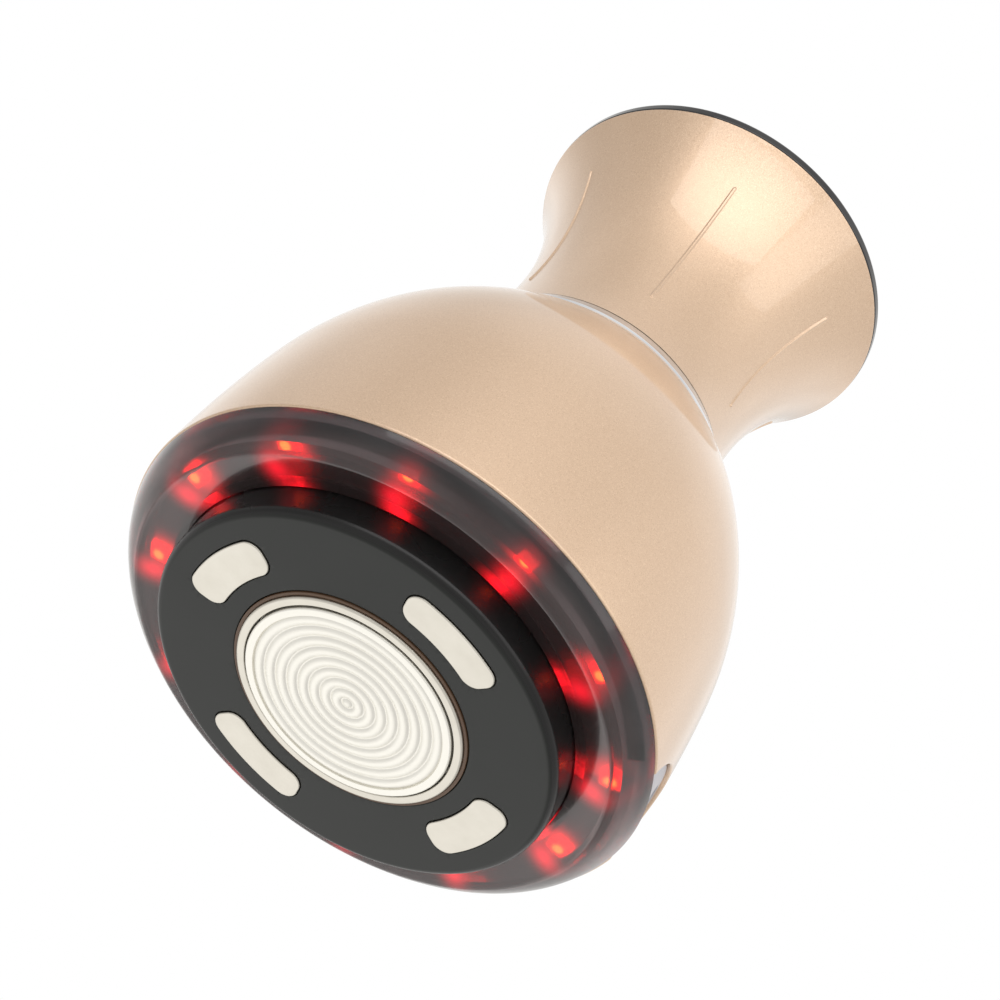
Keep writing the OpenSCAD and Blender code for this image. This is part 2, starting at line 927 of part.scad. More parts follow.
module bulb_shell() {
    rim_round = 0.5;
    color(gold_colour)
    difference() {
        rotate_extrude($fn = smooth)
            difference() {
                body_region(0, bulb_rim, neck_height);
                body_region(bulb_wall, bulb_rim - over, neck_height + over);
                corner(bulb_radius, bulb_rim, rim_round, 1, -1);
            }
        translate([0, bulb_radius / 2, notch_height])
            rotate([-90, 0, 0])
                cylinder(r = notch_radius, h = bulb_radius, $fn = smooth);
    }
}

// Rounded block along +Y that follows the charging notch
module notch_block(radius) {
    intersection() {
        translate([0, bulb_radius / 2, notch_height])
            rotate([-90, 0, 0])
                cylinder(r = radius, h = bulb_radius, $fn = smooth);
        translate([-bulb_radius, bulb_radius / 2, bezel_foot])
            cube([2 * bulb_radius, bulb_radius, bulb_radius]);
    }
}

module jack_bezel() {
    color(grey_colour)
    difference() {
        union() {
            intersection() {
                translate([0, 0, bezel_foot - over])
                    ring(bezel_outer, bezel_inner, bezel_top);
                notch_block(bezel_radius);
            }
            intersection() {
                rotate_extrude($fn = smooth)
                    difference() {
                        body_region(bezel_setback, bezel_foot - over, bezel_top);
                        span(0, bezel_outer - bezel_thickness / 2, bezel_foot - 2 * over, bezel_top + over);
                    }
                notch_block(bezel_plug);
            }
        }
        translate([0, bulb_radius / 2, inlet_height])
            rotate([-90, 0, 0])
                cylinder(r = inlet_bore + plug_clearance, h = bulb_radius);
    }
}

module dc_jack() {
    color(black_colour)
    difference() {
        translate([-inlet_half, inlet_back, inlet_height - inlet_half])
            cube([2 * inlet_half, inlet_front - inlet_back, 2 * inlet_half]);
        translate([0, inlet_back + inlet_floor, inlet_height])
            rotate([-90, 0, 0])
                cylinder(r = inlet_bore, h = inlet_depth + over);
        translate([0, inlet_back - over, inlet_height])
            rotate([-90, 0, 0])
                cylinder(r = inlet_tail + fit / 2, h = inlet_floor + 2 * over);
    }
}

module jack_pin() {
    tip_inset = 0.6;
    free_length = inlet_depth - tip_inset;
    tip = 0.3;
    color(chrome_colour)
    translate([0, inlet_back + inlet_floor, inlet_height])
        rotate([-90, 0, 0]) {
            rotate_extrude()
                difference() {
                    span(0, inlet_pin, 0, free_length);
                    corner(inlet_pin, free_length, tip, 1, 1);
                }
            translate([0, 0, -inlet_floor - tail_length])
                cylinder(r = inlet_tail, h = inlet_floor + tail_length + fit);
        }
}

module neck_ring() {
    bulge = 0.2;
    low_step = 0.3;
    high_step = 0.75;
    low_point = [neck_radius - low_step, neck_height];
    high_point = [handle_foot + high_step, ring_top];
    middle = (low_point + high_point) / 2 + [bulge, 0];
    ring_centre = circle_centre(low_point, middle, high_point);
    color(chrome_colour)
    difference() {
        rotate_extrude($fn = smooth) {
            intersection() {
                span(neck_opening, 2 * neck_radius, neck_height, ring_top);
                translate(ring_centre)
                    circle(r = norm(low_point - ring_centre), $fn = smooth);
            }
            span(neck_opening, neck_spigot, neck_height - neck_spigot_length, neck_height + fit);
        }
        around(neck_screw_count, neck_screw_circle, neck_screw_turn)
            translate([0, 0, ring_top - neck_screw_depth])
                cylinder(r = neck_screw[0] + fit, h = neck_screw_depth + over);
    }
}

module neck_gasket() {
    step = 0.3;
    hole_gap = 0.3;
    color(black_colour)
    difference() {
        translate([0, 0, ring_top])
            ring(handle_foot - step, neck_opening, gasket_height);
        around(neck_screw_count, neck_screw_circle, neck_screw_turn)
            translate([0, 0, ring_top - over])
                cylinder(r = neck_screw[0] + hole_gap, h = gasket_height + 2 * over);
    }
}

module neck_screws() {
    color(steel_colour)
    around(neck_screw_count, neck_screw_circle, neck_screw_turn)
        translate([0, 0, handle_bottom + handle_floor])
            screw(neck_screw, handle_floor + gasket_height + neck_screw_depth - 0.5);
}

module neck_loom() {
    loom_place = 3;
    loom_foot = back_top + 8;
    loom_length = board_foot - loom_foot;
    sleeve = 2.6;
    sleeve_inset = 4;
    wire = 0.7;
    wire_count = 5;
    wire_circle = 1.5;
    color(black_colour)
    translate([0, loom_place, 0]) {
        translate([0, 0, loom_foot + sleeve_inset])
            cylinder(r = sleeve, h = loom_length - 2 * sleeve_inset);
        around(wire_count, wire_circle, 0)
            translate([0, 0, loom_foot])
                cylinder(r = wire, h = loom_length, $fn = 24);
    }
}

// Raised creases: each keeps its height over the handle and ends round
module handle_creases() {
    end_radius = crease_width / 2;
    around(crease_count, 0, crease_turn)
        intersection() {
            rotate([90, 0, 0])
                translate([0, 0, -crease_width])
                    linear_extrude(height = 2 * crease_width)
                        difference() {
                            handle_region(-crease_height, crease_low - over, crease_high + over);
                            handle_region(handle_wall / 2, crease_low - 2 * over, crease_high + 2 * over);
                        }
            rotate([0, 90, 0])
                linear_extrude(height = handle_centre / 2) {
                    translate([-crease_high + end_radius, 0])
                        circle(r = end_radius);
                    translate([-crease_low - end_radius, 0])
                        circle(r = end_radius);
                    translate([-crease_high + end_radius, -end_radius])
                        square([crease_length - crease_width, crease_width]);
                }
        }
}

module handle_shell() {
    rim_round = 0.3;
    rail_grip = 1.5;
    rail_wall = 1.2;
    rail_width = board_thickness + 2 * rail_wall;
    rail_drop = 4;
    rail_top = board_foot + board_length - rail_drop;
    function rail_y(side) = side == 0 ? board_back - rail_wall : -board_front - rail_wall;
    color(gold_colour)
    difference() {
        union() {
            rotate_extrude($fn = smooth)
                difference() {
                    handle_region(0, handle_bottom, handle_top);
                    handle_region(handle_wall, handle_bottom + handle_floor, handle_top + over);
                    span(0, neck_opening, handle_bottom - over, handle_bottom + handle_floor + over);
                    span(0, ledge_radius, ledge_height, handle_top + over);
                    corner(handle_rim, handle_top, rim_round, 1, 1);
                    corner(handle_foot, handle_bottom, rim_round, 1, -1);
                }
            handle_creases();
            intersection() {
                rotate_extrude($fn = smooth)
                    handle_region(handle_wall / 2, handle_bottom + fit, rail_top);
                for (side = [0, 180])
                    rotate([0, 0, side])
                        translate([board_half - rail_grip, rail_y(side), board_foot - over])
                            cube([handle_centre / 2, rail_width, rail_top]);
            }
        }
        translate([-board_half - seam, board_back - seam, board_foot - seam])
            cube([2 * (board_half + seam), board_thickness + 2 * seam, board_length]);
        around(neck_screw_count, neck_screw_circle, neck_screw_turn)
            translate([0, 0, handle_bottom - over])
                cylinder(r = neck_screw[0] + fit, h = handle_floor + 2 * over);
    }
}

module main_board() {
    color(board_colour)
    translate([-board_half, board_back, board_foot])
        cube([2 * board_half, board_thickness, board_length]);
}

module transformer_core() {
    half = core_size[0] / 2;
    window = [half - 2 * core_leg, core_size[1] + 2 * over, core_size[2] - 2 * core_leg];
    color(black_colour)
    translate([0, board_front + core_stand, transformer_foot])
        difference() {
            translate([-half, 0, 0])
                cube(core_size);
            for (left = [core_leg - half, core_leg])
                translate([left, -over, core_leg])
                    cube(window);
        }
}

module transformer_winding() {
    stand_out = 2.1;
    coil_height = core_size[2] - 2 * (core_leg + coil_gap);
    outer = [2 * (core_leg + coil_width), core_size[1] + 2 * stand_out, coil_height];
    inner = [2 * (core_leg + coil_gap), core_size[1] + 2 * coil_gap, core_size[2]];
    color(copper_colour)
    translate([0, board_front + core_stand + core_size[1] / 2, transformer_foot + core_size[2] / 2])
        difference() {
            cube(outer, center = true);
            cube(inner, center = true);
        }
}

module capacitors() {
    edge = 0.6;
    foot = board_foot + 1;
    color(black_colour)
    for (side = [-1, 1])
        translate([side * can_place, board_front + can_radius + seam, foot])
            rotate_extrude()
                difference() {
                    span(0, can_radius, 0, can_height);
                    corner(can_radius, can_height, edge, 1, 1);
                    corner(can_radius, 0, edge, 1, -1);
                }
}

module transistors() {
    foot = board_foot + 6;
    color(black_colour)
    for (side = [-1, 1])
        translate([side * transistor_place - transistor_size[0] / 2, board_back - transistor_size[1], foot])
            cube(transistor_size);
}

module heat_sink() {
    fin_count = 9;
    fin = 1;
    foot = board_foot + 4;
    color(grey_colour)
    translate([-sink_width / 2, board_back - transistor_size[1] - sink_base, foot]) {
        cube([sink_width, sink_base, sink_height]);
        for (i = [0 : fin_count - 1])
            translate([i * (sink_width - fin) / (fin_count - 1), sink_base - sink_depth, 0])
                cube([fin, sink_depth - sink_base + fit, sink_height]);
    }
}

module control_board() {
    color(board_colour)
    difference() {
        translate([0, 0, control_under])
            cylinder(r = control_radius, h = control_thickness);
        around(panel_screw_count, panel_screw_circle, panel_screw_turn)
            translate([0, 0, control_under - over])
                cylinder(r = panel_screw[0] + seam, h = control_thickness + 2 * over);
    }
}

module at_key(index) {
    rotate([0, 0, KEYS[index][1]])
        translate([KEYS[index][0], 0, 0])
            rotate([0, 0, -KEYS[index][1]])
                children();
}

module tact_switches() {
    stem_gap = 0.3;
    well_foot = stem_foot - key_travel - stem_gap;
    color(black_colour)
    for (i = [0 : len(KEYS) - 1])
        at_key(i)
            difference() {
                translate([-switch_size / 2, -switch_size / 2, control_top])
                    cube([switch_size, switch_size, switch_height]);
                translate([0, 0, well_foot])
                    cylinder(r = stem_radius + stem_gap, h = switch_height);
            }
}

module level_leds() {
    size = [1.3, 2, 0.8];
    inset = 0.8;
    end_turn = 4;
    step = (window_span - 2 * end_turn) / (level_count - 1);
    color(white_colour)
    for (i = [0 : level_count - 1])
        rotate([0, 0, window_turn - window_span / 2 + end_turn + i * step])
            translate([window_circle - inset - size[0] / 2, -size[1] / 2, control_top])
                cube(size);
}

module key_frame() {
    inner_room = 2.6;
    outer_room = 1.8;
    slot_inner = 2;
    slot_turn = 16;
    color(black_colour)
    difference() {
        union() {
            translate([0, 0, frame_under])
                cylinder(r = frame_radius, h = frame_thickness, $fn = smooth);
            around(panel_screw_count, panel_screw_circle, panel_screw_turn)
                translate([0, 0, control_top])
                    cylinder(r = panel_post, h = frame_under - control_top + fit);
        }
        for (i = [0 : len(KEYS) - 1])
            at_key(i)
                translate([0, 0, frame_under - over])
                    cylinder(r = stem_radius + guide_clearance, h = frame_thickness + 2 * over);
        around(panel_screw_count, panel_screw_circle, panel_screw_turn)
            translate([0, 0, control_top - over])
                cylinder(r = panel_screw[0] + seam, h = frame_top - control_top + 2 * over);
        translate([0, 0, frame_under - over])
            rotate([0, 0, window_turn])
                linear_extrude(height = frame_thickness + 2 * over)
                    sector(window_circle - inner_room, window_circle + outer_room, window_span / 2);
        for (turn = [mode_turn, plus_turn, minus_turn])
            rotate([0, 0, turn])
                translate([0, 0, frame_under - over])
                    linear_extrude(height = frame_thickness + 2 * over)
                        sector(window_circle - slot_inner, window_circle + outer_room, slot_turn);
    }
}

module panel_screws() {
    tip_inset = 0.6;
    color(steel_colour)
    around(panel_screw_count, panel_screw_circle, panel_screw_turn)
        translate([0, 0, control_under])
            rotate([180, 0, 0])
                screw(panel_screw, panel_under - tip_inset - control_under);
}

// Outline of the level window, grown by a margin
module window_outline(grow) {
    half = window_span / 2;
    end_ease = 0.02;
    sector(window_circle - window_half - grow, window_circle + window_half + grow, half);
    for (side = [-1, 1])
        rotate(side * half)
            translate([window_circle, 0])
                circle(r = window_half + grow - end_ease);
}

module top_panel() {
    top_round = 0.8;
    foot_round = 0.3;
    skirt = 1.5;
    screw_end = 0.4;
    color(black_colour)
    difference() {
        union() {
            rotate_extrude($fn = smooth)
                difference() {
                    union() {
                        span(0, panel_radius, handle_top, panel_top);
                        span(0, panel_skirt, ledge_height + seam, handle_top + fit);
                    }
                    span(-over, panel_skirt - skirt, ledge_height - over, panel_under);
                    polygon([
                        [0, panel_centre],
                        [dish_floor, panel_centre],
                        [dish_radius, panel_top],
                        [dish_radius, panel_top + over],
                        [0, panel_top + over]
                    ]);
                    corner(panel_radius, panel_top, top_round, 1, 1);
                    corner(panel_radius, handle_top, foot_round, 1, -1);
                }
            around(panel_screw_count, panel_screw_circle, panel_screw_turn)
                translate([0, 0, frame_top])
                    cylinder(r = panel_post, h = panel_under - frame_top + fit);
        }
        for (i = [0 : len(KEYS) - 1])
            at_key(i)
                translate([0, 0, panel_under - over])
                    cylinder(r = (i == 0 ? power_radius : key_radius) + key_gap, h = panel_top);
        around(panel_screw_count, panel_screw_circle, panel_screw_turn)
            translate([0, 0, frame_top - over])
                cylinder(r = panel_screw[0] + fit, h = panel_under - frame_top + over - screw_end);
        rotate([0, 0, window_turn])
            translate([0, 0, panel_under - over])
                linear_extrude(height = panel_top)
                    window_outline(seam);
    }
}

module level_window() {
    color(smoke_colour)
    rotate([0, 0, window_turn])
        translate([0, 0, panel_under + seam])
            linear_extrude(height = window_top - panel_under - seam)
                window_outline(0);
}

// Button cap with a retaining flange; the mark is cut by the caller
module cap(radius) {
    edge = 0.7;
    rotate_extrude()
        difference() {
            union() {
                span(0, radius, key_foot, key_top);
                span(0, radius + key_flange_width, key_foot, key_foot + key_flange);
            }
            corner(radius, key_top, edge, 1, 1);
        }
}

// Bar-shaped groove in a button's top, with its middle at a given place
module groove(length, width, y) {
    translate([-length / 2, y - width / 2, key_top - mark_depth])
        cube([length, width, 2 * mark_depth]);
}

module power_button() {
    mark_outer = 2.8;
    mark_inner = 2.2;
    opening = 1.8;
    stroke = [0.6, 2.6];
    stroke_foot = 0.8;
    color(black_colour)
    difference() {
        cap(power_radius);
        translate([0, 0, key_top - mark_depth])
            linear_extrude(height = 2 * mark_depth) {
                difference() {
                    circle(r = mark_outer);
                    circle(r = mark_inner);
                    translate([-opening / 2, 0])
                        square([opening, mark_outer + over]);
                }
                translate([-stroke[0] / 2, stroke_foot])
                    square(stroke);
            }
    }
}

module mode_button() {
    bar = [2.6, 0.5];
    pitch = 1.1;
    color(black_colour)
    at_key(1)
        difference() {
            cap(key_radius);
            for (i = [-1 : 1])
                groove(bar[0], bar[1], i * pitch);
        }
}

module plus_button() {
    color(black_colour)
    at_key(2)
        difference() {
            cap(key_radius);
            groove(sign_bar[0], sign_bar[1], 0);
            groove(sign_bar[1], sign_bar[0], 0);
        }
}

module minus_button() {
    color(black_colour)
    at_key(3)
        difference() {
            cap(key_radius);
            groove(sign_bar[0], sign_bar[1], 0);
        }
}

module plunger(index) {
    color(white_colour)
    at_key(index)
        translate([0, 0, stem_foot])
            cylinder(r = stem_radius, h = key_foot - stem_foot);
}

module power_plunger() {
    plunger(0);
}

module mode_plunger() {
    plunger(1);
}

module plus_plunger() {
    plunger(2);
}

module minus_plunger() {
    plunger(3);
}

treatment_plate();
plate_ring();
plate_gasket();
face_disc();
pad_1();
pad_2();
pad_3();
pad_4();
pad_contacts();
clamp_ring();
clamp_screws();
transducer_front();
piezo_front();
piezo_back();
transducer_contacts();
transducer_back();
transducer_bolt();
led_lens();
led_board();
red_leds();
chassis();
face_screws();
bulb_shell();
jack_bezel();
dc_jack();
jack_pin();
neck_ring();
neck_gasket();
neck_screws();
neck_loom();
handle_shell();
main_board();
transformer_core();
transformer_winding();
capacitors();
transistors();
heat_sink();
control_board();
tact_switches();
level_leds();
key_frame();
panel_screws();
top_panel();
level_window();
power_button();
mode_button();
plus_button();
minus_button();
power_plunger();
mode_plunger();
plus_plunger();
minus_plunger();
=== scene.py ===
# Hand-held cavitation slimming machine, seen from under its treatment face
import math
from functools import partialmethod

import bmesh
import bpy
from mathutils import Matrix, Vector
from mathutils.geometry import delaunay_2d_cdt


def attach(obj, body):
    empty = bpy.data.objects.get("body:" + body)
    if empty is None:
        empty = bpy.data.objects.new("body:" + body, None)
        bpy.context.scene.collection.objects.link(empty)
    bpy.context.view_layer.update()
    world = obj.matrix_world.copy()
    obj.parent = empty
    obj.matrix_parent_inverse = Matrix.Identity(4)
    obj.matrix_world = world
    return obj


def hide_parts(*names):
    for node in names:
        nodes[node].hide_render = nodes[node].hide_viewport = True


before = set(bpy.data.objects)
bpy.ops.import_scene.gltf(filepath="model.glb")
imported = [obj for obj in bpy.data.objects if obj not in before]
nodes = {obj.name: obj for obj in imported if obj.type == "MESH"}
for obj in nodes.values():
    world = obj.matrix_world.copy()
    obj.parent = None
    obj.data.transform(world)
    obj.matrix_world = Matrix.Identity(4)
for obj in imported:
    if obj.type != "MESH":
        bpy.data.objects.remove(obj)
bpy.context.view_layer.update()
print("frame loaded:", len(nodes), "nodes")

mm = 0.001
tau = 2 * math.pi
quarter = math.pi / 2
around = 240  # segments of each large circle


# A settings dictionary whose values can be read as attributes
class Settings(dict):
    __getattr__ = dict.__getitem__


def setAll(thing, values):
    for name, value in values.items():
        setattr(thing, name, value)


# Adds nodes to a tree; a value is a number, a colour or the output of another node
class Graph:
    def __init__(self, tree):
        self.tree = tree

    def fill(self, node, values):
        for name, value in values.items():
            socket = node.inputs[name]
            if isinstance(value, bpy.types.NodeSocket):
                self.tree.links.new(value, socket)
            elif socket.type == "RGBA" and len(value) == 3:
                socket.default_value = (*value, 1.0)
            else:
                socket.default_value = value

    def add(self, kind, values=None, **settings):
        node = self.tree.nodes.new(kind)
        setAll(node, settings)
        self.fill(node, values or {})
        return node

    def math(self, operation, *values, clamp=False):
        values = dict(enumerate(values))
        return self.add("ShaderNodeMath", values, operation=operation, use_clamp=clamp).outputs[0]

    plus = partialmethod(math, "ADD")
    minus = partialmethod(math, "SUBTRACT")
    times = partialmethod(math, "MULTIPLY")
    over = partialmethod(math, "DIVIDE")

    def square(self, value):
        return self.times(value, value)

    def hypot(self, x, y):
        return self.math("SQRT", self.plus(self.square(x), self.square(y)))

    def vector(self, operation, values, output="Vector"):
        return self.add("ShaderNodeVectorMath", values, operation=operation).outputs[output]

    def split(self, vector):
        return self.add("ShaderNodeSeparateXYZ", {0: vector}).outputs

    def join(self, values):
        return self.add("ShaderNodeCombineXYZ", values).outputs[0]

    def range(self, value, low, high, toLow=0.0, toHigh=1.0, smooth=False):
        values = {"Value": value, "From Min": low, "From Max": high, "To Min": toLow, "To Max": toHigh}
        kind = "SMOOTHSTEP" if smooth else "LINEAR"
        return self.add("ShaderNodeMapRange", values, interpolation_type=kind).outputs["Result"]

    def mix(self, factor, first, second):
        return self.add("ShaderNodeMix", {0: factor, 6: first, 7: second}, data_type="RGBA").outputs[2]

    def mixShader(self, factor, first, second):
        return self.add("ShaderNodeMixShader", {0: factor, 1: first, 2: second}).outputs[0]

    def point(self):
        return self.add("ShaderNodeTexCoord").outputs["Object"]

    def noise(self, point, scale, detail=2.0, roughness=0.5, distortion=0.0):
        return self.add("ShaderNodeTexNoise", {
            "Vector": point, "Scale": scale, "Detail": detail,
            "Roughness": roughness, "Distortion": distortion,
        }).outputs["Fac"]

    def group(self, tree, values):
        return self.add("ShaderNodeGroup", values, node_tree=tree).outputs


def openTree(name, kind, inputs, outputs):
    tree = bpy.data.node_groups.new(name, kind)
    for label, value in inputs.items():
        sort = {int: "Int", float: "Float", tuple: "Color"}.get(type(value), value)
        socket = tree.interface.new_socket(name=label, in_out="INPUT", socket_type="NodeSocket" + sort)
        if sort != value:
            socket.default_value = value
    for label in outputs:
        sort = {"Colour": "Color", "Normal": "Vector", "Geometry": "Geometry"}.get(label, "Float")
        tree.interface.new_socket(name=label, in_out="OUTPUT", socket_type="NodeSocket" + sort)
    g = Graph(tree)
    return g, g.add("NodeGroupInput").outputs, g.add("NodeGroupOutput")


def startGroup(name, inputs, outputs):
    return openTree(name, "ShaderNodeTree", inputs, outputs)


# Fine moulded grain: a height for a bump and a small change of gloss
def buildGrainGroup():
    g, given, leave = startGroup(
        "mouldedGrain", {"Scale": 9000.0, "Roughness": 0.4, "Spread": 0.06}, ("Height", "Gloss"),
    )
    point = g.point()
    fine = g.noise(point, given["Scale"], detail=3.0, roughness=0.6)
    broad = g.noise(point, 60.0, detail=3.0, roughness=0.55)
    shift = g.times(g.minus(broad, 0.5), given["Spread"])
    g.fill(leave, {"Height": fine, "Gloss": g.plus(given["Roughness"], shift)})
    return g.tree


# Handling marks: faint wiped streaks and a few specks of dust
def buildHandlingGroup():
    g, given, leave = startGroup("handlingMarks", {"Roughness": 0.1, "Amount": 0.05}, ("Gloss", "Mask"))
    point = g.point()
    wiped = g.add("ShaderNodeMapping", {
        "Vector": point, "Rotation": (0.4, 0.7, 0.3), "Scale": (1.0, 1.0, 0.22),
    })
    smear = g.noise(wiped.outputs["Vector"], 55.0, detail=4.0, roughness=0.62, distortion=0.6)
    smear = g.range(smear, 0.52, 0.75, smooth=True)
    speck = g.range(g.noise(point, 1500.0, detail=1.0, roughness=0.4), 0.80, 0.86)
    both = g.math("ADD", smear, g.times(speck, 0.6), clamp=True)
    g.fill(leave, {"Gloss": g.plus(given["Roughness"], g.times(both, given["Amount"])), "Mask": both})
    return g.tree


# Metal flakes in paint: each flake leans its own way and has its own tone
def buildFlakeGroup():
    white = (1.0, 1.0, 1.0, 1.0)
    g, given, leave = startGroup(
        "metalFlakes", {"Scale": 4000.0, "Lean": 0.2, "Colour": white, "Light": white, "Dark": white},
        ("Colour", "Normal"),
    )
    cells = g.add("ShaderNodeTexVoronoi", {"Vector": g.point(), "Scale": given["Scale"]}, feature="F1")
    cell = cells.outputs["Color"]
    centred = g.vector("SUBTRACT", {0: cell, 1: (0.5, 0.5, 0.5)})
    lean = g.vector("SCALE", {0: centred, "Scale": given["Lean"]})
    surface = g.add("ShaderNodeNewGeometry").outputs["Normal"]
    normal = g.vector("NORMALIZE", {0: g.vector("ADD", {0: surface, 1: lean})})
    tone = g.add("ShaderNodeSeparateColor", {"Color": cell}).outputs["Red"]
    bright = g.mix(g.range(tone, 0.78, 1.0), given["Colour"], given["Light"])
    colour = g.mix(g.range(tone, 0.0, 0.22, 1.0, 0.0), bright, given["Dark"])
    g.fill(leave, {"Colour": colour, "Normal": normal})
    return g.tree


# Turned finish: fine circular tool lines about the Z axis
def buildTurnedGroup():
    g, given, leave = startGroup(
        "turnedLines", {"Pitch": 0.0001, "Roughness": 0.25, "Spread": 0.1}, ("Height", "Gloss", "Tone"),
    )
    point = g.point()
    x, y, _ = g.split(point)
    steps = g.over(g.vector("LENGTH", {0: g.join({"X": x, "Y": y})}, "Value"), given["Pitch"])
    line = g.add("ShaderNodeTexNoise", {"W": steps, "Scale": 1.0, "Detail": 3.0}, noise_dimensions="1D")
    line = line.outputs["Fac"]
    soft = g.noise(point, 180.0, detail=3.0, roughness=0.6)
    narrow = g.times(g.minus(line, 0.5), given["Spread"])
    wide = g.times(g.minus(soft, 0.5), given["Spread"])
    gloss = g.plus(given["Roughness"], g.plus(narrow, wide))
    g.fill(leave, {"Height": line, "Gloss": gloss, "Tone": soft})
    return g.tree


# Painted glow: a soft red spot of lamp light, given as emission, over each lamp of the ring, measured in
# the lamps' own circle
def buildPaintedGlowGroup():
    inputs = dict.fromkeys(("Count", "Turn", "Circle", "Reach", "Width"), 1.0)
    g, given, leave = startGroup("lampHalo", inputs, ("Mask",))
    x, y, _ = g.split(g.point())
    out = g.hypot(x, y)
    angle = g.minus(g.math("ARCTAN2", y, x), given["Turn"])
    step = g.over(tau, given["Count"])
    # whole steps keep the share positive, the half puts the lamp in the middle of it
    share = g.math("FRACT", g.plus(g.over(angle, step), 10.5))
    aside = g.times(g.times(g.minus(share, 0.5), step), out)
    along = g.minus(out, given["Circle"])

    def bell(value, spread):
        return g.math("EXPONENT", g.times(g.square(g.over(value, spread)), -0.5))

    g.fill(leave, {"Mask": g.times(bell(aside, given["Width"]), bell(along, given["Reach"]))})
    return g.tree


grainGroup = buildGrainGroup()
handlingGroup = buildHandlingGroup()
flakeGroup = buildFlakeGroup()
turnedGroup = buildTurnedGroup()
paintedGlowGroup = buildPaintedGlowGroup()


def clearedGraph(owner):
    owner.use_nodes = True
    owner.node_tree.nodes.clear()
    return Graph(owner.node_tree)


def newMaterial(name, values):
    material = bpy.data.materials.new(name)
    g = clearedGraph(material)
    shader = g.add("ShaderNodeBsdfPrincipled", values)
    g.add("ShaderNodeOutputMaterial", {"Surface": shader.outputs["BSDF"]})
    return material, g, shader


# Links a finish group: its gloss to the roughness and, with a bump, its height to the normal
def addFinish(g, shader, group, values, bump=0.0, depth=0.00002):
    finish = g.group(group, values)
    g.fill(shader, {"Roughness": finish["Gloss"]})
    if bump:
        relief = g.add("ShaderNodeBump", {"Strength": bump, "Distance": depth, "Height": finish["Height"]})
        g.fill(shader, {"Normal": relief.outputs["Normal"]})
    return finish


# A look with one finish and two colours, mixed by a noise or by an output of the finish
def makeLook(name, values, group, finish, tone, dark, light, **relief):
    material, g, shader = newMaterial(name, values)
    made = addFinish(g, shader, group, finish, **relief)
    factor = made[tone] if isinstance(tone, str) else g.noise(g.point(), **tone)
    g.fill(shader, {"Base Color": g.mix(factor, dark, light)})
    return material


goldLacquer = Settings(
    shader={
        "Metallic": 0.62, "Roughness": 0.36, "IOR": 1.5,
        "Coat Weight": 1.0, "Coat Roughness": 0.025, "Coat IOR": 1.5,
    },
    flakes={
        "Scale": 8500.0, "Lean": 0.09,
        "Colour": (0.76, 0.545, 0.375), "Light": (0.86, 0.65, 0.47), "Dark": (0.66, 0.455, 0.30),
    },
    marks={"Roughness": 0.36, "Amount": 0.05},
)


def makeGoldLacquer():
    material, g, shader = newMaterial("goldLacquer", goldLacquer.shader)
    flakes = g.group(flakeGroup, goldLacquer.flakes)
    g.fill(shader, {"Base Color": flakes["Colour"], "Normal": flakes["Normal"]})
    addFinish(g, shader, handlingGroup, goldLacquer.marks)
    return material


faceBlack = Settings(
    flat=(0.0052, 0.0072, 0.0055), wall=(0.008, 0.008, 0.008), wallFrom=1.02, wallTo=1.35, wallShare=0.8,
    grain={"Scale": 7000.0, "Roughness": 0.34, "Spread": 0.08}, bump=0.12, depth=0.00004,
)


def makeFaceBlack():
    f = faceBlack
    material, g, shader = newMaterial("faceBlack", {"IOR": 1.41})
    height = g.split(g.point())["Z"]
    wall = g.range(height, f.wallFrom * mm, f.wallTo * mm, smooth=True)
    grain = addFinish(g, shader, grainGroup, f.grain, f.bump, f.depth)
    g.fill(shader, {
        "Roughness": g.times(grain["Gloss"], g.range(wall, 0.0, 1.0, 1.0, f.wallShare)),
        "Base Color": g.mix(wall, f.flat, f.wall),
    })
    return material


lamps = Settings(
    count=12, circle=41.3, turn=110.8, size=3.4, seat=12.3, height=1.5, base=1.0,
    corner=0.35, ease=0.08, margin=0.3, tip=0.1, segments=28,
)

# How far the lamps' light, painted on as emission, spreads on the lens and on the tray behind it
paintedGlow = {
    "lens": Settings(circle=40.2, reach=1.9, width=1.5, glow=(0.75, 0.005, 0.018)),
    "tray": Settings(circle=40.0, reach=2.2, width=1.75, glow=(8.0, 0.045, 0.13)),
}


# Paints the lamps' light onto a surface as a red emission
def addPaintedGlow(g, shader, where):
    spread = paintedGlow[where]
    spot = g.group(paintedGlowGroup, {
        "Count": lamps.count, "Turn": math.radians(lamps.turn), "Circle": spread.circle * mm,
        "Reach": spread.reach * mm, "Width": spread.width * mm,
    })
    glow = g.mix(spot["Mask"], (0.0, 0.0, 0.0), spread.glow)
    g.fill(shader, {"Emission Color": glow, "Emission Strength": 1.0})


# The lens is thicker, so darker, on the slope beside the gold
smokedLens = Settings(
    shader={
        "Metallic": 0.0, "Transmission Weight": 0.88, "IOR": 1.49,
        "Coat Weight": 0.5, "Coat Roughness": 0.02,
    },
    marks={"Roughness": 0.16, "Amount": 0.04}, dark=(0.185, 0.118, 0.118), light=(0.225, 0.145, 0.145),
    slope=(0.062, 0.052, 0.058), slopeFrom=8.0, slopeTo=9.8,
)


def makeSmokedLens():
    s = smokedLens
    material, g, shader = newMaterial("smokedLens", s.shader)
    addFinish(g, shader, handlingGroup, s.marks)
    point = g.point()
    smoke = g.mix(g.noise(point, scale=40.0), s.dark, s.light)
    slope = g.range(g.split(point)["Z"], s.slopeFrom * mm, s.slopeTo * mm, smooth=True)
    g.fill(shader, {"Base Color": g.mix(slope, smoke, s.slope)})
    # the lamps' light on the lens is painted on as emission
    addPaintedGlow(g, shader, "lens")
    return material


lampRed = Settings(glow=(12.0, 0.05, 0.10), tipGlow=(44.0, 3.6, 0.5), tipFrom=11.0, tipTo=10.83)


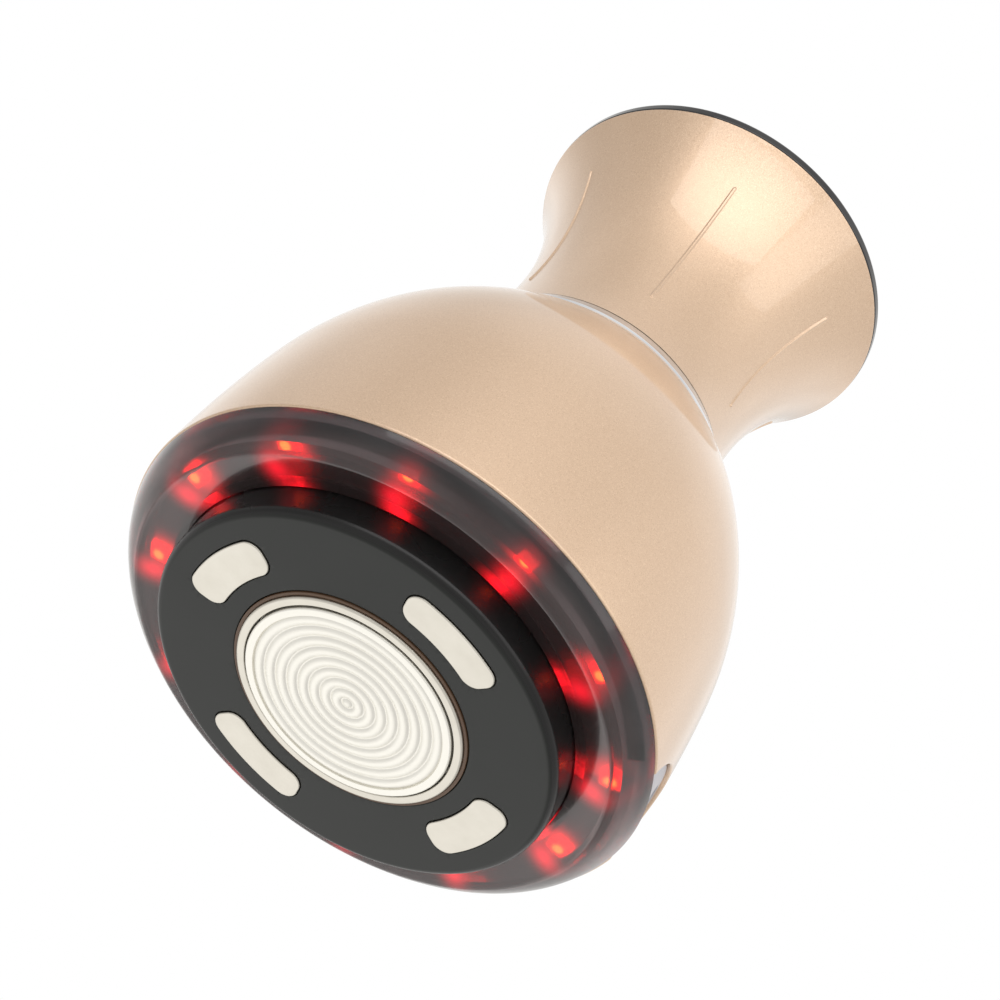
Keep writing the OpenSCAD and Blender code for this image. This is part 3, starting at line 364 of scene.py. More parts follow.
def makeLampRed():
    material, g, shader = newMaterial("lampRed", {
        "Roughness": 0.2, "Base Color": (0.8, 0.02, 0.02), "Emission Strength": 1.0,
    })
    tip = g.range(g.split(g.point())["Z"], lampRed.tipFrom * mm, lampRed.tipTo * mm, smooth=True)
    g.fill(shader, {"Emission Color": g.mix(tip, lampRed.glow, lampRed.tipGlow)})
    return material


def makeLampTray():
    material, g, shader = newMaterial("lampTray", {"Roughness": 0.5, "Base Color": (0.12, 0.10, 0.10)})
    addFinish(g, shader, grainGroup, {"Scale": 4000.0, "Roughness": 0.5, "Spread": 0.1})
    # the lamps' light on the tray is painted on as emission
    addPaintedGlow(g, shader, "tray")
    return material


def makePlastic(name, colour, roughness, coat=0.0, bump=0.08):
    values = {"IOR": 1.5, "Coat Weight": coat, "Coat Roughness": 0.02}
    finish = {"Scale": 5000.0, "Roughness": roughness, "Spread": 0.05}
    lighter = tuple(min(1.0, c * 1.18 + 0.002) for c in colour)
    return makeLook(
        name, values, grainGroup, finish, {"scale": 90.0}, colour, lighter, bump=bump, depth=0.00003,
    )


def makeMetal(name, colour, roughness, spread, group=turnedGroup):
    finish = {"Roughness": roughness, "Spread": spread}
    tone = {"scale": 150.0, "detail": 3.0, "roughness": 0.55}
    darker = tuple(c * 0.93 for c in colour)
    return makeLook(name, {"Metallic": 1.0}, group, finish, tone, darker, colour, bump=0.04, depth=0.00001)


looks = {
    "gold": makeGoldLacquer(),
    "face": makeFaceBlack(),
    "plate": makeLook(
        "plateSteel", {"Metallic": 1.0}, turnedGroup, {"Pitch": 0.00012, "Roughness": 0.46, "Spread": 0.14},
        "Tone", (0.87, 0.85, 0.785), (0.97, 0.955, 0.895), bump=0.16,
    ),
    "pad": makeLook(
        "padSteel", {"Metallic": 1.0}, grainGroup, {"Scale": 5000.0, "Roughness": 0.33, "Spread": 0.12},
        {"scale": 220.0, "detail": 3.0, "roughness": 0.6},
        (0.62, 0.59, 0.52), (0.73, 0.70, 0.63), bump=0.10,
    ),
    "lens": makeSmokedLens(),
    "lamp": makeLampRed(),
    "tray": makeLampTray(),
    "chrome": makeMetal("neckChrome", (0.86, 0.87, 0.90), 0.06, 0.03),
    "steel": makeMetal("screwSteel", (0.62, 0.62, 0.64), 0.32, 0.1),
    "aluminium": makeMetal("turnedAluminium", (0.78, 0.78, 0.80), 0.34, 0.12),
    "copper": makeMetal("contactCopper", (0.80, 0.46, 0.26), 0.30, 0.1, grainGroup),
    "amber": makePlastic("sealAmber", (0.11, 0.06, 0.032), 0.45, bump=0.1),
    "rubber": makePlastic("gasketRubber", (0.012, 0.012, 0.012), 0.6, bump=0.2),
    "bezel": makePlastic("bezelGrey", (0.47, 0.46, 0.495), 0.38, bump=0.1),
    "inner": makePlastic("innerPlastic", (0.018, 0.018, 0.02), 0.5, bump=0.15),
    "board": makePlastic("circuitBoard", (0.012, 0.05, 0.03), 0.35, coat=0.3, bump=0.1),
    "ceramic": makePlastic("firedCeramic", (0.72, 0.68, 0.58), 0.6, bump=0.2),
    "ferrite": makePlastic("sinteredFerrite", (0.03, 0.03, 0.032), 0.55, bump=0.3),
    "white": makePlastic("whitePlastic", (0.80, 0.80, 0.78), 0.4),
    "panel": makeLook(
        "panelBlack", {"IOR": 1.5, "Coat Weight": 0.6, "Coat Roughness": 0.015}, handlingGroup,
        {"Roughness": 0.07, "Amount": 0.09}, "Mask", (0.010, 0.010, 0.012), (0.016, 0.016, 0.018),
    ),
    "window": makePlastic("windowSmoke", (0.03, 0.03, 0.034), 0.09, coat=0.8, bump=0.0),
    "mark": makePlastic("keyMark", (0.78, 0.76, 0.72), 0.35, bump=0.05),
    "keyCap": makePlastic("keyCap", (0.022, 0.022, 0.024), 0.34, bump=0.12),
}
print("materials made:", len(looks))


# Points on an arc, angles in radians
def arc(centre, radius, start, end, count):
    turns = [start + (end - start) * i / count for i in range(count + 1)]
    return [(centre[0] + radius * math.cos(a), centre[1] + radius * math.sin(a)) for a in turns]


# The same with angles in degrees
def arcRun(centre, radius, start, end, count):
    return arc(centre, radius, math.radians(start), math.radians(end), count)


def circleLoop(centre, radius, count):
    return arc(centre, radius, 0.0, tau, count)[:-1]


def turnsOf(count, first):
    return [first + 360 * i / count for i in range(count)]


def turnPoint(point, degrees):
    c, s = math.cos(math.radians(degrees)), math.sin(math.radians(degrees))
    return (point[0] * c - point[1] * s, point[0] * s + point[1] * c)


# Steps of a quarter-round edge: what is left of its width, and how deep it has sunk
def quarterRound(ease, steps):
    turns = [quarter * k / steps for k in range(1, steps + 1)]
    return [(ease * (1 - math.sin(a)), ease * (1 - math.cos(a))) for a in turns]


# Rounds the corners of a closed profile; each corner is (r, z, radius)
def roundedProfile(corners, steps):
    out = []
    for i, (x, y, radius) in enumerate(corners):
        here = Vector((x, y))
        if radius <= 0:
            out.append((x, y))
            continue
        inWay = (Vector(corners[i - 1][:2]) - here).normalized()
        outWay = (Vector(corners[(i + 1) % len(corners)][:2]) - here).normalized()
        half = math.acos(max(-1.0, min(1.0, inWay.dot(outWay)))) / 2
        reach = radius / math.tan(half)
        middle = here + (inWay + outWay).normalized() * (radius / math.sin(half))
        startWay = here + inWay * reach - middle
        turn = startWay.angle_signed(here + outWay * reach - middle)
        for k in range(steps + 1):
            c, s = math.cos(-turn * k / steps), math.sin(-turn * k / steps)
            way = Vector((startWay.x * c - startWay.y * s, startWay.x * s + startWay.y * c))
            out.append(tuple(middle + way))
    return out


# Moves a loop outward by an amount, inward when it is negative
def grownLoop(loop, amount):
    out = []
    for i in range(len(loop)):
        before, here, after = (Vector(loop[k % len(loop)]) for k in (i - 1, i, i + 1))
        first = (here - before).normalized()
        last = (after - here).normalized()
        n1 = Vector((first.y, -first.x))
        n2 = Vector((last.y, -last.x))
        way = (n1 + n2) / max(0.3, 1.0 + n1.dot(n2))
        out.append(tuple(here + way * amount))
    return out


def insideLoop(point, loop):
    x, y = point
    inside = False
    for i in range(len(loop)):
        x0, y0 = loop[i - 1]
        x1, y1 = loop[i]
        if (y0 > y) != (y1 > y) and x < (x1 - x0) * (y - y0) / (y1 - y0) + x0:
            inside = not inside
    return inside


def insideLoops(point, loops):
    return insideLoop(point, loops[0]) and not any(insideLoop(point, hole) for hole in loops[1:])


# Staggered points that fill an area, clear of its loops
def fillPoints(loops, guides, spacing):
    if not spacing:
        return []
    low = [min(p[k] for p in loops[0]) for k in (0, 1)]
    high = [max(p[k] for p in loops[0]) for k in (0, 1)]
    walls = [*loops, *guides]
    rise = 0.87

    def clear(point):
        return all(math.hypot(point[0] - x, point[1] - y) > spacing / 2 for wall in walls for x, y in wall)

    out = []
    for j in range(int((high[1] - low[1]) / (spacing * rise)) + 2):
        for i in range(int((high[0] - low[0]) / spacing) + 2):
            point = (low[0] + (i + 0.5 * (j % 2)) * spacing, low[1] + j * spacing * rise)
            if insideLoops(point, loops) and clear(point):
                out.append(Vector(point))
    return out


def flatAt(z):
    return lambda x, y: (x, y, z)


def editMesh(mesh, change):
    bm = bmesh.new()
    bm.from_mesh(mesh)
    change(bm)
    bm.to_mesh(mesh)
    bm.free()
    mesh.update()


def cleanUp(bm):
    bmesh.ops.remove_doubles(bm, verts=bm.verts, dist=1e-7)
    bmesh.ops.recalc_face_normals(bm, faces=bm.faces)
    bmesh.ops.delete(bm, geom=[v for v in bm.verts if not v.link_faces], context="VERTS")


# Collects points in millimetres, rings of points and the faces between them
class Shape:
    def __init__(self):
        self.points = []
        self.faces = []

    def ring(self, points):
        start = len(self.points)
        self.points.extend(points)
        return list(range(start, len(self.points)))

    def level(self, loop, z):
        return self.ring([(x, y, z) for x, y in loop])

    # A ring of radius 0 is a single point
    def turned(self, profile, count):
        return [self.level(circleLoop((0, 0), r, count) if r else [(0.0, 0.0)], z) for r, z in profile]

    def bridge(self, first, second):
        count = max(len(first), len(second))
        for i in range(count if count > 1 else 0):
            places = ((first, i), (first, i + 1), (second, i + 1), (second, i))
            corners = [ring[k % len(ring)] for ring, k in places]
            self.faces.append(tuple(dict.fromkeys(corners)))

    def chain(self, rings):
        for first, second in zip(rings, rings[1:]):
            self.bridge(first, second)

    def loopOver(self, rings):
        self.chain(rings + [rings[0]])

    def close(self, ring, flip=False):
        self.faces.append(tuple(ring[::-1] if flip else ring))

    # Fills the area between loops of (u, v); place turns (u, v) into a point
    def cap(self, loops, place, spacing=0.0, guides=()):
        coords, edges, starts = [], [], []
        for loop in [*loops, *guides]:
            first = len(coords)
            starts.append(first)
            coords += [Vector(p) for p in loop]
            edges += [(first + i, first + (i + 1) % len(loop)) for i in range(len(loop))]
        known = len(coords)
        coords += fillPoints(loops, guides, spacing)
        verts, _, faces, sources, _, _ = delaunay_2d_cdt(coords, edges, [], 1, 1e-6)
        base = len(self.points)
        self.points.extend(place(v.x, v.y) for v in verts)
        for face in faces:
            middle = [sum(verts[i][k] for i in face) / len(face) for k in (0, 1)]
            if insideLoops(middle, loops):
                self.faces.append(tuple(base + i for i in face))
        index = {}
        for made, origins in enumerate(sources):
            index.update((origin, base + made) for origin in origins if origin < known)
        return [[index[start + i] for i in range(len(loop))] for start, loop in zip(starts, loops)]

    # Rounds the edge from a ring to its loop, with side 1 for a hole and -1 for a rim;
    # place takes (u, v, sink)
    def eased(self, ring, loop, side, ease, steps, place):
        rings = [ring]
        for left, sink in quarterRound(ease, steps):
            rings.append(self.ring([place(u, v, sink) for u, v in grownLoop(loop, side * left)]))
        return rings

    # A slab with one eased face, from the face to the back
    def slab(self, loop, face, back, ease, steps, spacings):
        side = 1 if back > face else -1
        front = self.cap([grownLoop(loop, -ease)], flatAt(face), spacings[0])
        edge = self.eased(front[0], loop, -1, ease, steps, lambda x, y, sink: (x, y, face + side * sink))
        self.chain(edge + self.cap([loop], flatAt(back), spacings[1]))

    # A post closed at both ends, through levels of (z, how much it grows)
    def post(self, loop, levels):
        rings = [self.level(grownLoop(loop, grow), z) for z, grow in levels]
        self.chain(rings)
        self.close(rings[0], flip=True)
        self.close(rings[-1])

    def tube(self, centre, outer, inner, low, high):
        walls = ((outer, low), (outer, high), (inner, high), (inner, low))
        self.loopOver([self.level(circleLoop(centre, radius, 32), z) for radius, z in walls])

    def moved(self, x0, y0):
        self.points = [(x + x0, y + y0, z) for x, y, z in self.points]

    def mesh(self, name):
        mesh = bpy.data.meshes.new(name)
        mesh.from_pydata([(x * mm, y * mm, z * mm) for x, y, z in self.points], [], self.faces)
        mesh.validate(clean_customdata=False)
        mesh.update()
        editMesh(mesh, cleanUp)
        return mesh


def newObject(name, data):
    made = bpy.data.objects.new(name, data)
    bpy.context.scene.collection.objects.link(made)
    return made


def shadeSmooth(made, sharpAngle):
    limit = math.radians(sharpAngle)

    def smoothen(bm):
        for face in bm.faces:
            face.smooth = True
        for edge in bm.edges:
            edge.smooth = not (len(edge.link_faces) == 2 and edge.calc_face_angle(0.0) > limit)

    editMesh(made.data, smoothen)


# Swaps an object's mesh for its evaluated one and drops the modifiers
def bakeModifiers(made):
    graph = bpy.context.evaluated_depsgraph_get()
    graph.update()
    old = made.data
    fresh = bpy.data.meshes.new_from_object(made.evaluated_get(graph), depsgraph=graph)
    made.modifiers.clear()
    made.data = fresh
    fresh.name = made.name
    bpy.data.meshes.remove(old)


def applyRule(made, tree, values):
    modifier = made.modifiers.new(tree.name, "NODES")
    modifier.node_group = tree
    for item in tree.interface.items_tree:
        if item.in_out == "INPUT" and item.name in values:
            modifier[item.identifier] = values[item.name]
    bakeModifiers(made)


# Evens the normals, puts the piece on its body and hides the frame node that it takes the place of
def standFor(piece, body, replaced):
    modifier = piece.modifiers.new("weighted", "WEIGHTED_NORMAL")
    modifier.keep_sharp = True
    modifier.weight = 60
    bakeModifiers(piece)
    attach(piece, body)
    if replaced:
        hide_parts(replaced)


def makePiece(name, shape, look, slot, replaced=None, body="body", sharpAngle=32.0, rule=None, values=None):
    made = newObject(name, shape.mesh(name))
    made.data.materials.append(looks[look])
    shadeSmooth(made, sharpAngle)
    if rule:
        applyRule(made, rule, values)
        shadeSmooth(made, sharpAngle)
    standFor(made, body, replaced)


def turnedPiece(name, profile, look, slot, replaced, **extra):
    shape = Shape()
    shape.loopOver(shape.turned(profile, around))
    makePiece(name, shape, look, slot, replaced, **extra)


def startRule(name, inputs):
    return openTree(name, "GeometryNodeTree", {"Geometry": "Geometry", **inputs}, ("Geometry",))


def endWithMove(g, given, leave, offset):
    move = g.add("GeometryNodeSetPosition", {"Geometry": given["Geometry"], "Offset": offset})
    g.fill(leave, {"Geometry": move.outputs["Geometry"]})
    return g.tree


# Rounded concentric ridges: the height over the valleys follows the distance from the axis
def buildRidgeRule():
    labels = ("Pitch", "Round", "Valley", "Field")
    g, given, leave = startRule("concentricRidges", dict.fromkeys(labels, 0.001))
    x, y, z = g.split(g.add("GeometryNodeInputPosition").outputs[0])
    radius = g.hypot(x, y)
    half = g.times(given["Pitch"], 0.5)
    offset = g.minus(g.math("FLOORED_MODULO", g.plus(radius, half), given["Pitch"]), half)
    under = g.minus(g.square(given["Round"]), g.square(offset))
    rise = g.math("MINIMUM", g.minus(given["Round"], g.math("SQRT", under)), given["Valley"])
    # the last valley meets the land in a short wall
    inField = g.math("LESS_THAN", radius, g.minus(given["Field"], 0.00002))
    onFace = g.math("LESS_THAN", z, 0.00001)
    return endWithMove(g, given, leave, g.join({"Z": g.times(g.times(rise, inField), onFace)}))


# Long creases round the handle: one height all along, with round ends and a rounded section
def buildCreaseRule():
    labels = (
        "Count", "Turn", "Middle", "Half length",
        "Height", "Crest half width", "Flank width", "Skin radius",
    )
    g, given, leave = startRule("raisedCreases", dict.fromkeys(labels, 0.001))
    x, y, z = g.split(g.add("GeometryNodeInputPosition").outputs[0])
    radius = g.hypot(x, y)
    angle = g.minus(g.math("ARCTAN2", y, x), given["Turn"])
    step = g.over(tau, given["Count"])
    half = g.times(step, 0.5)
    near = g.minus(g.math("FLOORED_MODULO", g.plus(angle, g.plus(half, tau)), step), half)
    side = g.times(near, radius)
    # distance from the crease's middle line, so that the ends come out round
    along = g.math("ABSOLUTE", g.minus(z, given["Middle"]))
    away = g.hypot(g.math("MAXIMUM", g.minus(along, given["Half length"]), 0.0), side)
    flank = g.over(g.minus(away, given["Crest half width"]), given["Flank width"])
    part = g.times(g.math("MINIMUM", g.math("MAXIMUM", flank, 0.0), 1.0), math.pi)
    shape = g.times(g.plus(g.math("COSINE", part), 1.0), 0.5)
    outside = g.math("GREATER_THAN", radius, given["Skin radius"])
    height = g.times(g.times(given["Height"], shape), outside)
    outward = g.join({"X": g.over(x, radius), "Y": g.over(y, radius)})
    return endWithMove(g, given, leave, g.vector("SCALE", {0: outward, "Scale": height}))


# A circle of copies of one lamp, each turned to face out from the axis
def buildLampRule():
    g, given, leave = startRule("lampCircle", {
        "Count": 1, "Radius": 0.001, "Turn": 0.0, "Height": 0.0, "Lamp": "Object", "Finish": "Material",
    })
    order = g.add("GeometryNodeInputIndex").outputs[0]
    angle = g.plus(g.over(g.times(order, tau), given["Count"]), given["Turn"])
    x = g.times(g.math("COSINE", angle), given["Radius"])
    y = g.times(g.math("SINE", angle), given["Radius"])
    spot = g.join({"X": x, "Y": y, "Z": given["Height"]})
    points = g.add("GeometryNodePoints", {"Count": given["Count"], "Position": spot}).outputs[0]
    lamp = g.add("GeometryNodeObjectInfo", {"Object": given["Lamp"]}).outputs["Geometry"]
    copies = g.add("GeometryNodeInstanceOnPoints", {
        "Points": points, "Instance": lamp, "Rotation": g.join({"Z": angle}),
    }).outputs[0]
    real = g.add("GeometryNodeRealizeInstances", {0: copies}).outputs[0]
    paint = g.add("GeometryNodeSetMaterial", {"Geometry": real, "Material": given["Finish"]})
    g.fill(leave, {"Geometry": paint.outputs[0]})
    return g.tree


ridgeRule = buildRidgeRule()
creaseRule = buildCreaseRule()
lampRule = buildLampRule()
print("rules made")


plate = Settings(
    radius=18.65, field=17.25, pitch=17.25 / 8.5, round=1.42, valley=0.35,
    edge=0.3, flange=23.4, flangeLow=3.6, flangeTop=5.0, ringStep=0.085, wallRings=(-0.03, 0, 0.05, 0.4),
)


def makeTreatmentPlate():
    p = plate
    count = int(p.field / p.ringStep)
    profile = [(p.field * i / count, 0.0) for i in range(count)]
    profile += [(p.field + step, 0.0) for step in p.wallRings]
    profile += arcRun((p.radius - p.edge, p.edge), p.edge, -90, 0, 6)
    profile += [(p.radius, p.flangeLow), (p.flange, p.flangeLow)]
    profile += [(p.flange, p.flangeTop), (0.0, p.flangeTop)]
    values = {name.capitalize(): plate[name] * mm for name in ("pitch", "round", "valley", "field")}
    turnedPiece(
        "treatmentPlate", profile, "plate", "plate_steel", "treatment_plate",
        sharpAngle=50.0, rule=ridgeRule, values=values,
    )


plateRing = Settings(inner=18.95, outer=20.5, low=0.3, top=3.6, eases=(0.2, 0.4, 0.1, 0.1), steps=6)
plateGasket = Settings(inner=20.55, outer=21.15, low=0.8, top=3.6, eases=(0.12, 0.12, 0.05, 0.05), steps=4)


def plainRing(ring):
    inner, outer, low, top = ring.inner, ring.outer, ring.low, ring.top
    corners = ((inner, low), (outer, low), (outer, top), (inner, top))
    return roundedProfile([(r, z, ease) for (r, z), ease in zip(corners, ring.eases)], ring.steps)


makeTreatmentPlate()
turnedPiece("plateRing", plainRing(plateRing), "pad", "plate_steel", "plate_ring")
turnedPiece("plateGasket", plainRing(plateGasket), "amber", "amber_rubber", "plate_gasket")
print("plate, ring and seal made")


pads = Settings(
    inner=24.8, outer=31.3, span=37.0, corner=2.6, turn=23.6, count=4,
    low=0.7, top=2.3, edge=0.22, margin=0.15, stud=1.4, studTop=6.5, studSink=0.05,
    arcSteps=18, cornerSteps=10, spacings=(0.8, 2.0),
)


# Outline of one pad: a ring sector with rounded corners, grown by a margin and turned to its place
def padLoop(grow, place):
    p = pads
    inner, outer, corner = p.inner - grow, p.outer + grow, p.corner + grow
    half = math.radians(p.span / 2) + grow / ((p.inner + p.outer) / 2)
    inTurn = half - math.asin(corner / (inner + corner))
    outTurn = half - math.asin(corner / (outer - corner))

    def at(radius, turn):
        return (radius * math.cos(turn), radius * math.sin(turn))

    upper = arc(at(outer - corner, outTurn), corner, outTurn, quarter + half, p.cornerSteps)
    upper += arc(at(inner + corner, inTurn), corner, quarter + half, math.pi + inTurn, p.cornerSteps)
    loop = arc((0, 0), outer, -outTurn, outTurn, p.arcSteps)[:-1] + upper
    loop += arc((0, 0), inner, inTurn, -inTurn, p.arcSteps)[1:-1]
    loop += [(x, -y) for x, y in reversed(upper)]
    return [turnPoint(q, place) for q in loop]


face = Settings(
    hole=21.2, holeRound=0.3, radius=36.3, edge=1.5, low=1.0, back=3.6,
    skirt=34.3, top=12.3, topEase=0.1, recessEdge=0.12, sink=0.05,
    post=2.6, postCircle=31.2, postTurn=68.6, postTop=14.6, postBore=1.25,
    boss=1.9, bossCircle=25.75, bossTop=5.0, bossBore=1.15,
    ribs=8, ribTurn=46.1, ribStart=27.95, ribEnd=34.6, ribHalf=0.6, ribTop=6.6, ribEase=0.15,
)


def makeFaceDisc():
    f = face
    shape = Shape()
    low, radius, hole = f.low, f.radius, f.hole + f.holeRound
    recesses = [padLoop(pads.margin, turn) for turn in turnsOf(pads.count, pads.turn)]
    loops = [circleLoop((0, 0), radius - f.edge, around), circleLoop((0, 0), hole, around)]
    loops += [grownLoop(loop, f.recessEdge) for loop in recesses]
    rings = shape.cap(loops, flatAt(low), spacing=1.6)
    profile = arcRun((radius - f.edge, low + f.edge), f.edge, -90, 0, 12)[1:]
    profile += [
        (radius, f.top - f.topEase), (radius - f.topEase, f.top), (f.skirt, f.top),
        (f.skirt, f.back), (f.hole, f.back), (f.hole, low + f.holeRound),
    ]
    profile += arcRun((hole, low + f.holeRound), f.holeRound, 180, 270, 5)[1:-1]
    shape.chain([rings[0]] + shape.turned(profile, around) + [rings[1]])
    for loop, ring in zip(recesses, rings[2:]):
        edge = shape.eased(ring, loop, 1, f.recessEdge, 3, lambda x, y, sink: (x, y, low + sink))
        shape.chain(edge + shape.cap([loop], flatAt(pads.top)))
    foot = f.back - f.sink
    for turn in turnsOf(pads.count, f.postTurn):
        shape.tube(turnPoint((f.postCircle, 0), turn), f.post, f.postBore, foot, f.postTop)
        shape.tube(turnPoint((f.bossCircle, 0), turn), f.boss, f.bossBore, foot, f.bossTop)
    half, ease = f.ribHalf, f.ribEase
    for turn in turnsOf(f.ribs, f.ribTurn):
        plan = [(f.ribStart, -half), (f.ribEnd, -half), (f.ribEnd, half), (f.ribStart, half)]
        plan = [turnPoint(p, turn) for p in plan]
        shape.post(plan, ((foot, 0.0), (f.ribTop - ease, 0.0), (f.ribTop, -ease)))
    makePiece("faceDisc", shape, "face", "face_black", "face_disc")


def makePads():
    p = pads
    for i, turn in enumerate(turnsOf(p.count, p.turn)):
        shape = Shape()
        shape.slab(padLoop(0.0, turn), p.low, p.top, p.edge, 5, p.spacings)
        stud = circleLoop(turnPoint(((p.inner + p.outer) / 2, 0), turn), p.stud, 32)
        shape.post(stud, ((p.top - p.studSink, 0.0), (p.studTop, 0.0)))
        makePiece("contactPad%d" % (i + 1), shape, "pad", "plate_steel", "pad_%d" % (i + 1))


makeFaceDisc()
makePads()
print("face and pads made")


lens = Settings(
    inner=36.55, startHeight=7.1, crest=(43.095, 6.0), fillet=1.2, outer=47.9, top=11.6,
    through=(46.5, 8.907), crestStep=(0.5, 0.25), wall=2.0, cavity=38.15, innerTop=12.3,
    lipInner=43.8, lipOuter=45.4, lipTop=14.5, bayHalf=18.4, roofDrop=0.02,
)


def circleThrough(a, b, c):
    ab = (b[0] - a[0], b[1] - a[1])
    ac = (c[0] - a[0], c[1] - a[1])
    d = 2 * (ab[0] * ac[1] - ab[1] * ac[0])
    abLength = ab[0] ** 2 + ab[1] ** 2
    acLength = ac[0] ** 2 + ac[1] ** 2
    x = (ac[1] * abLength - ab[1] * acLength) / d
    y = (ab[0] * acLength - ac[0] * abLength) / d
    centre = (a[0] + x, a[1] + y)
    return centre, math.dist(a, centre)


def bearing(point, centre):
    return math.degrees(math.atan2(point[1] - centre[1], point[0] - centre[0]))


# Outer skin of the lens: cone, fillet over the crest, then the slope up to the body
def lensSkin():
    n = lens
    crest, top = n.crest, (n.outer, n.top)
    centre, radius = circleThrough((crest[0] + n.crestStep[0], crest[1] + n.crestStep[1]), n.through, top)
    start = Vector((n.inner, n.startHeight))
    way = (Vector(crest) - start).normalized()
    up = Vector((-way.y, way.x)) * n.fillet
    toBase = start + up - Vector(centre)
    b = toBase.dot(way)
    c = toBase.dot(toBase) - (radius - n.fillet) ** 2
    middle = start + up + way * (-b + math.sqrt(b * b - c))
    foot = middle - up
    skin = [tuple(start.lerp(foot, i / 10)) for i in range(10)]
    turn = bearing(middle, centre)
    skin += arcRun(middle, n.fillet, bearing((0, 0), up), turn, 8)
    skin += arcRun(centre, radius, turn, bearing(top, centre), 26)[1:]
    return skin, centre, radius - n.wall


def makeLens():
    n = lens
    skin, centre, radius = lensSkin()
    low = math.degrees(math.asin((n.crest[1] + n.wall - centre[1]) / radius))
    high = math.degrees(math.asin((n.top - n.roofDrop - centre[1]) / radius))
    roof = [p for p in arcRun(centre, radius, low, high, 16) if p[0] < n.lipInner]
    cavity = [(n.cavity, n.startHeight + n.wall)] + roof + [(n.lipInner, n.top)]
    shape = Shape()
    outer = shape.turned(skin + [(n.lipOuter, n.top)], around)
    inner = shape.turned(cavity[::-1] + [(n.cavity, n.innerTop), (n.inner, n.innerTop)], around)
    shape.chain(outer)
    shape.chain(inner)
    shape.bridge(inner[-1], outer[0])
    # the lip stands up all round except at the charging bay
    lipOut, lipIn = shape.turned([(n.lipOuter, n.lipTop), (n.lipInner, n.lipTop)], around)
    corners = (outer[-1], lipOut, lipIn, inner[0])
    inBay = [abs(360 * (i + 0.5) / around - 90) < n.bayHalf for i in range(around)]
    for i in range(around):
        j = (i + 1) % around
        walls = ((corners[0], corners[3]),) if inBay[i] else zip(corners, corners[1:])
        for a, b in walls:
            shape.faces.append((a[i], a[j], b[j], b[i]))
        if inBay[i] != inBay[i - 1]:
            shape.close([ring[i] for ring in corners], flip=inBay[i - 1])
    makePiece("smokedLens", shape, "lens", "smoked_plastic", "led_lens", sharpAngle=25.0)


# One lamp: a square base with eased corners and a low dome that points down
def lampMesh():
    shape = Shape()
    half, base, ease, tip = lamps.size / 2, -lamps.base, lamps.ease, lamps.tip
    corners = ((half, half), (-half, half), (-half, -half), (half, -half))
    loop = roundedProfile([(x, y, lamps.corner) for x, y in corners], 4)
    dome = half - lamps.margin
    foot = shape.cap([loop], flatAt(0.0))
    front = shape.cap([grownLoop(loop, -ease), circleLoop((0, 0), dome, lamps.segments)], flatAt(base))
    shape.chain([foot[0], shape.level(loop, base + ease), front[0]])
    rings = [front[1]]
    for k in range(1, 6):
        a = quarter * k / 6
        radius = dome * (math.cos(a) * (1 - tip) + tip)
        z = base - (lamps.height - lamps.base) * math.sin(a)
        rings.append(shape.level(circleLoop((0, 0), radius, lamps.segments), z))
    shape.chain(rings)
    shape.close(rings[-1])
    return shape.mesh("oneLamp")


def makeLamps():
    single = newObject("oneLamp", lampMesh())
    made = newObject("redLamps", bpy.data.meshes.new("redLamps"))
    applyRule(made, lampRule, {
        "Count": lamps.count, "Radius": lamps.circle * mm, "Turn": math.radians(lamps.turn),
        "Height": lamps.seat * mm, "Lamp": single, "Finish": looks["lamp"],
    })
    bpy.data.meshes.remove(single.data)
    shadeSmooth(made, 40.0)
    standFor(made, "body", "red_leds")


makeLens()
makeLamps()
print("lens and lamps made")


bulb = Settings(
    radius=48.2, rim=11.7, widest=8.7, sideArc=219.3, shoulderStart=37.45, shoulderArc=66.657,
    neck=75.4, wall=2.4, notch=12.4, notchHeight=8.9,
    ease=0.4, topEase=0.3, topShare=0.78, topStep=0.2, crowd=0.35,
    notchColumns=72, rimColumns=210, rows=92, innerRows=36,
)


# Two arcs that meet with one tangent
def bulbRadius(z, inset=0.0):
    b = bulb
    sideCentre = b.radius - b.sideArc
    angle = math.asin((b.shoulderStart - b.widest) / b.sideArc)
    change = b.widest + (b.sideArc - inset) * math.sin(angle)
    if z < change:
        return sideCentre + math.sqrt((b.sideArc - inset) ** 2 - (z - b.widest) ** 2)
    x = sideCentre + (b.sideArc - b.shoulderArc) * math.cos(angle)
    y = b.shoulderStart - b.shoulderArc * math.sin(angle)
    return x + math.sqrt((b.shoulderArc - inset) ** 2 - (z - y) ** 2)


def onBulb(x, z, inset=0.0):
    return Vector((x, math.sqrt(bulbRadius(z, inset) ** 2 - x * x), z))


def polar(r, angle, z):
    return Vector((r * math.cos(angle), r * math.sin(angle), z))


# One column of the shell, from the rim's corner up the outside and back down the inside
def bulbColumn(corner, inner, upPoint):
    b = bulb
    up = upPoint - corner
    into = (inner - corner).normalized() * b.ease
    centre = corner + up + into
    column = [inner, inner.lerp(corner + into, 0.5)]
    for k in range(6, -1, -1):
        a = quarter * k / 6
        column.append(centre - into * math.cos(a) - up * math.sin(a))
    low, high = upPoint.z, b.neck - b.topEase
    angle = math.atan2(upPoint.y, upPoint.x)
    for j in range(1, b.rows + 1):
        t = j / b.rows
        z = low + (high - low) * t * (b.crowd * t + 1 - b.crowd)
        column.append(polar(bulbRadius(z), angle, z))
    soft = b.topEase * b.topShare
    for k in range(1, 5):
        a = quarter * k / 4
        edge = bulbRadius(high) - soft + soft * math.cos(a)
        radius = min(edge, bulbRadius(b.neck) + b.topStep)
        column.append(polar(radius, angle, high + b.topEase * math.sin(a)))
    innerAngle = math.atan2(inner.y, inner.x)
    for j in range(b.innerRows):
        z = b.neck - (b.neck - inner.z) * j / b.innerRows
        column.append(polar(bulbRadius(z, b.wall), innerAngle, z))
    return column


